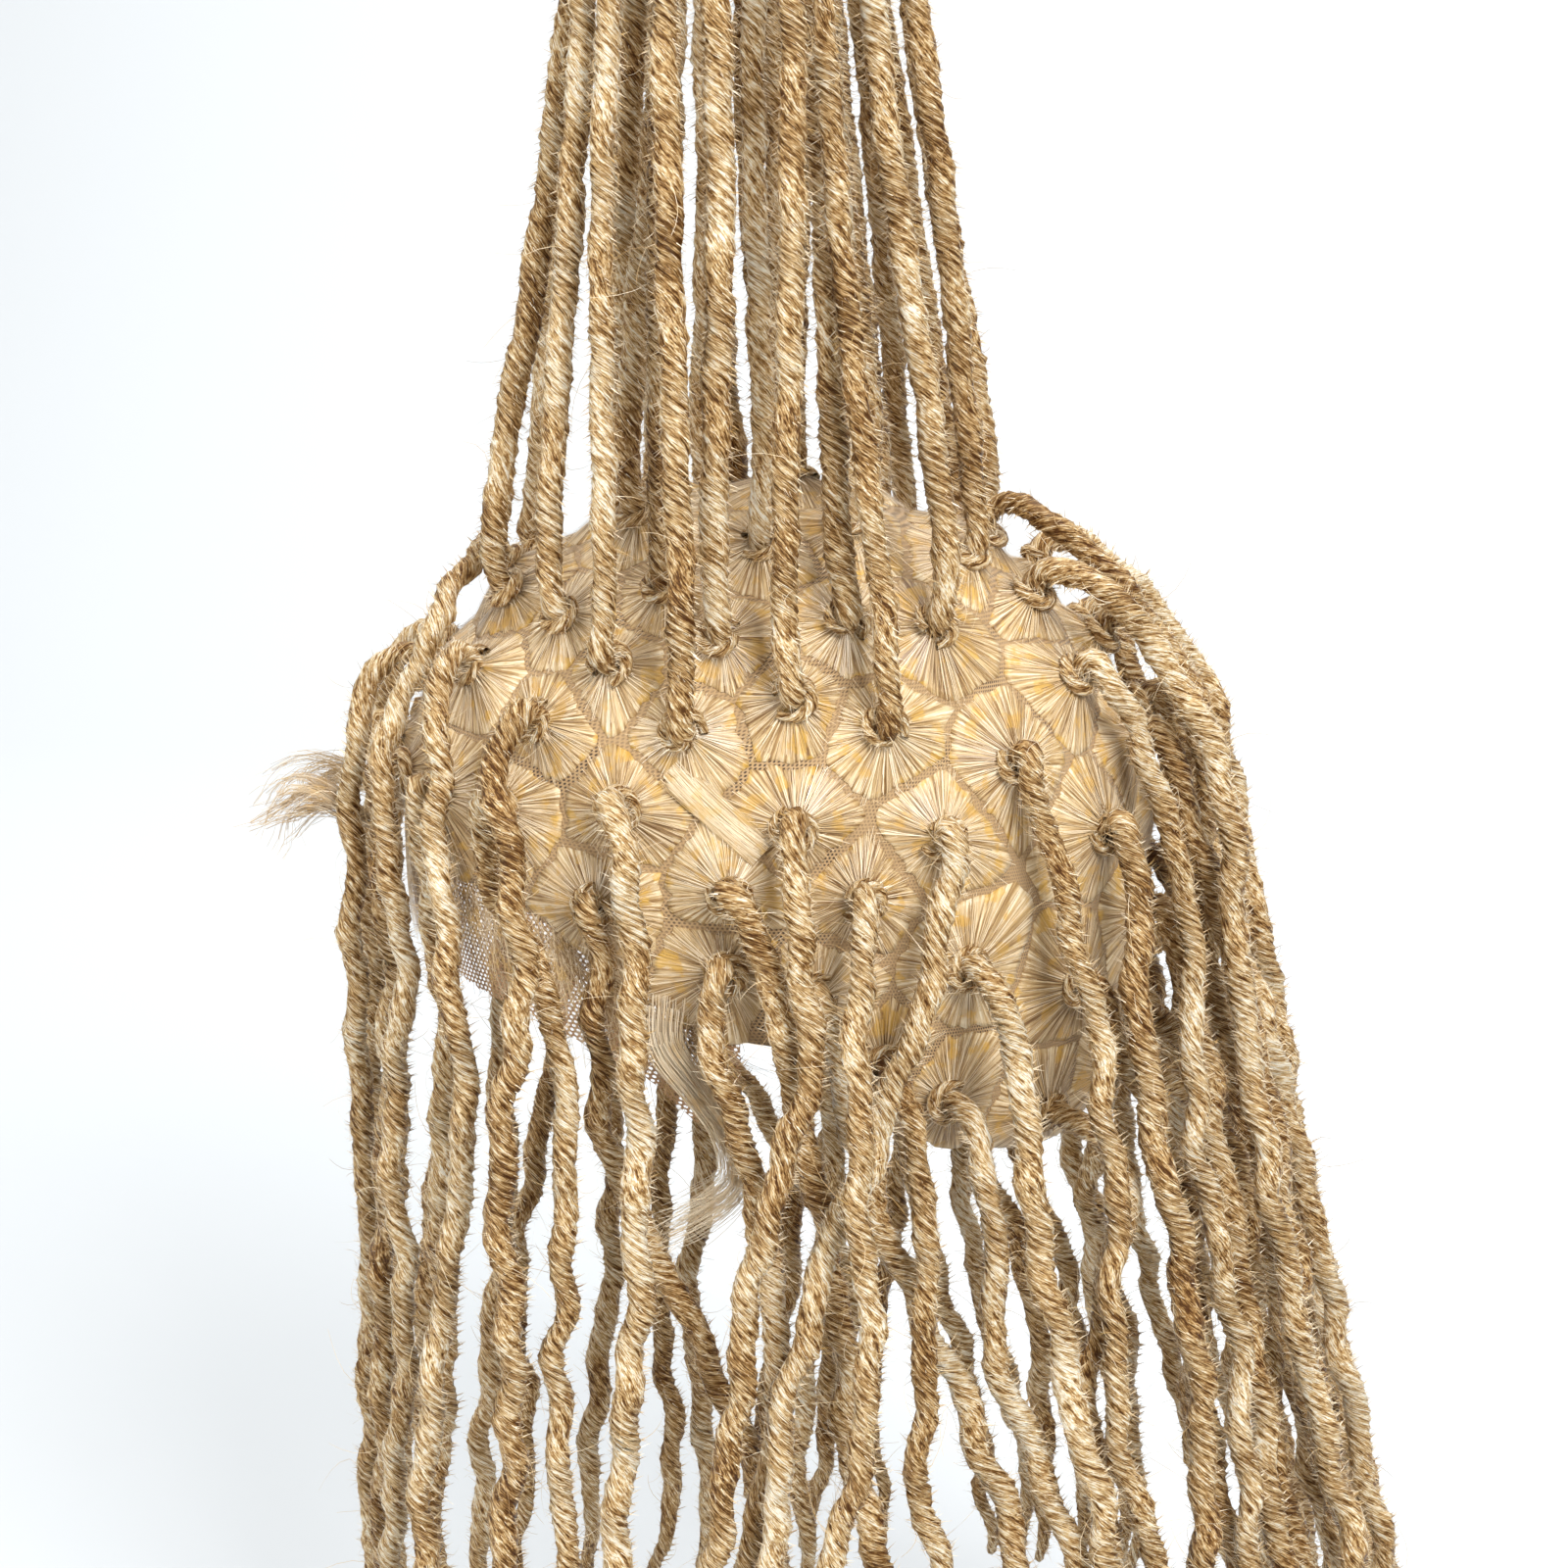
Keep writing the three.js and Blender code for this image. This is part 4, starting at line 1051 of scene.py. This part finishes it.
# Paper laid on the floor and drawn up behind in one bend
def makeSweep():
    bpy.ops.object.select_all(action="DESELECT")
    floorHeight = stageLook["floorHeight"] * millimetre
    bpy.ops.mesh.primitive_plane_add(size=stageLook["width"], location=(0, 0, floorHeight))
    floor = bpy.context.object
    floor.name = "paper_sweep"
    bpy.ops.object.transform_apply(location=True, rotation=True, scale=True)
    bpy.ops.object.mode_set(mode="EDIT")
    bpy.ops.mesh.select_mode(type="EDGE")
    bpy.ops.mesh.select_all(action="DESELECT")
    bpy.ops.object.mode_set(mode="OBJECT")
    for edge in floor.data.edges:
        edge.select = all(floor.data.vertices[v].co.x < 0 for v in edge.vertices)
    bpy.ops.object.mode_set(mode="EDIT")
    bpy.ops.mesh.extrude_region_move(TRANSFORM_OT_translate={"value": (0, 0, stageLook["wall"])})
    bpy.ops.mesh.select_all(action="DESELECT")
    bpy.ops.object.mode_set(mode="OBJECT")
    for edge in floor.data.edges:
        ends = [floor.data.vertices[v].co for v in edge.vertices]
        edge.select = all(end.x < 0 and end.z < floorHeight + 0.01 for end in ends)
    bpy.ops.object.mode_set(mode="EDIT")
    bpy.ops.mesh.bevel(offset=stageLook["bend"], segments=24)
    bpy.ops.object.mode_set(mode="OBJECT")
    bpy.ops.object.shade_smooth()
    material, tree, output = newMaterial("matt paper sweep")
    place = addNode(tree, "ShaderNodeTexCoord")
    grain = addNode(tree, "ShaderNodeTexNoise", {"Vector": place.outputs["Object"], "Scale": 400.0})
    relief = addNode(tree, "ShaderNodeBump", {"Height": grain.outputs["Fac"], "Distance": 0.0001,
                     "Strength": 0.1})
    surface = addNode(tree, "ShaderNodeBsdfPrincipled", {"Base Color": linear(stageLook["colour"]),
                      "Roughness": 0.9, "Normal": relief.outputs["Normal"]})
    tree.links.new(surface.outputs["BSDF"], output.inputs["Surface"])
    floor.data.materials.append(material)
    floor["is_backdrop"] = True


def addLight(name, place, aim, size, power):
    bpy.ops.object.light_add(type="AREA", location=place)
    light = bpy.context.object
    light.name = name
    light.data.size = size
    light.data.energy = power
    light.rotation_euler = (Vector(aim) - Vector(place)).to_track_quat("-Z", "Y").to_euler()


cameraLook = {"azimuth": 95, "elevation": 15, "distance": 900, "target": (0, 4, 72), "focalPixels": 3600,
              "imagePixels": 1600}


def makeCamera():
    look = cameraLook
    azimuth, elevation = math.radians(look["azimuth"]), math.radians(look["elevation"])
    back = Vector((math.sin(azimuth) * math.cos(elevation), -math.cos(azimuth) * math.cos(elevation),
                   math.sin(elevation)))
    target = Vector(look["target"]) * millimetre
    bpy.ops.object.camera_add(location=target + back * look["distance"] * millimetre)
    camera = bpy.context.object
    camera.rotation_euler = (-back).to_track_quat("-Z", "Y").to_euler()
    camera.data.sensor_width = 36
    camera.data.lens = 36 * look["focalPixels"] / look["imagePixels"]
    camera.data.clip_start = 0.05
    camera.data.clip_end = 30
    bpy.context.scene.camera = camera


makeSweep()
addLight("key_softbox", (1.4, 0.75, 1.25), (0, 0, 0.06), 0.7, 40)
addLight("fill_softbox", (1.1, -1.4, 0.5), (0, 0, 0.0), 1.2, 16)
addLight("top_softbox", (-0.4, 0.1, 1.7), (0, 0, 0.1), 1.0, 20)
addLight("backdrop_softbox", (-1.2, 0.0, 1.5), (-2.3, 0, 0.1), 1.2, 26)
world = bpy.data.worlds.new("pale studio")
world.use_nodes = True
world.node_tree.nodes["Background"].inputs["Color"].default_value = linear("#F6F4F1")
world.node_tree.nodes["Background"].inputs["Strength"].default_value = 0.48
bpy.context.scene.world = world
bpy.context.scene.view_settings.view_transform = "Standard"
makeCamera()
print("stage, lights and camera set")

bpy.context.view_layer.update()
triangles = [sum(len(p.vertices) - 2 for p in o.data.polygons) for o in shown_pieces()]
print("triangles shown:", sum(triangles), "of them on the largest piece:", max(triangles))
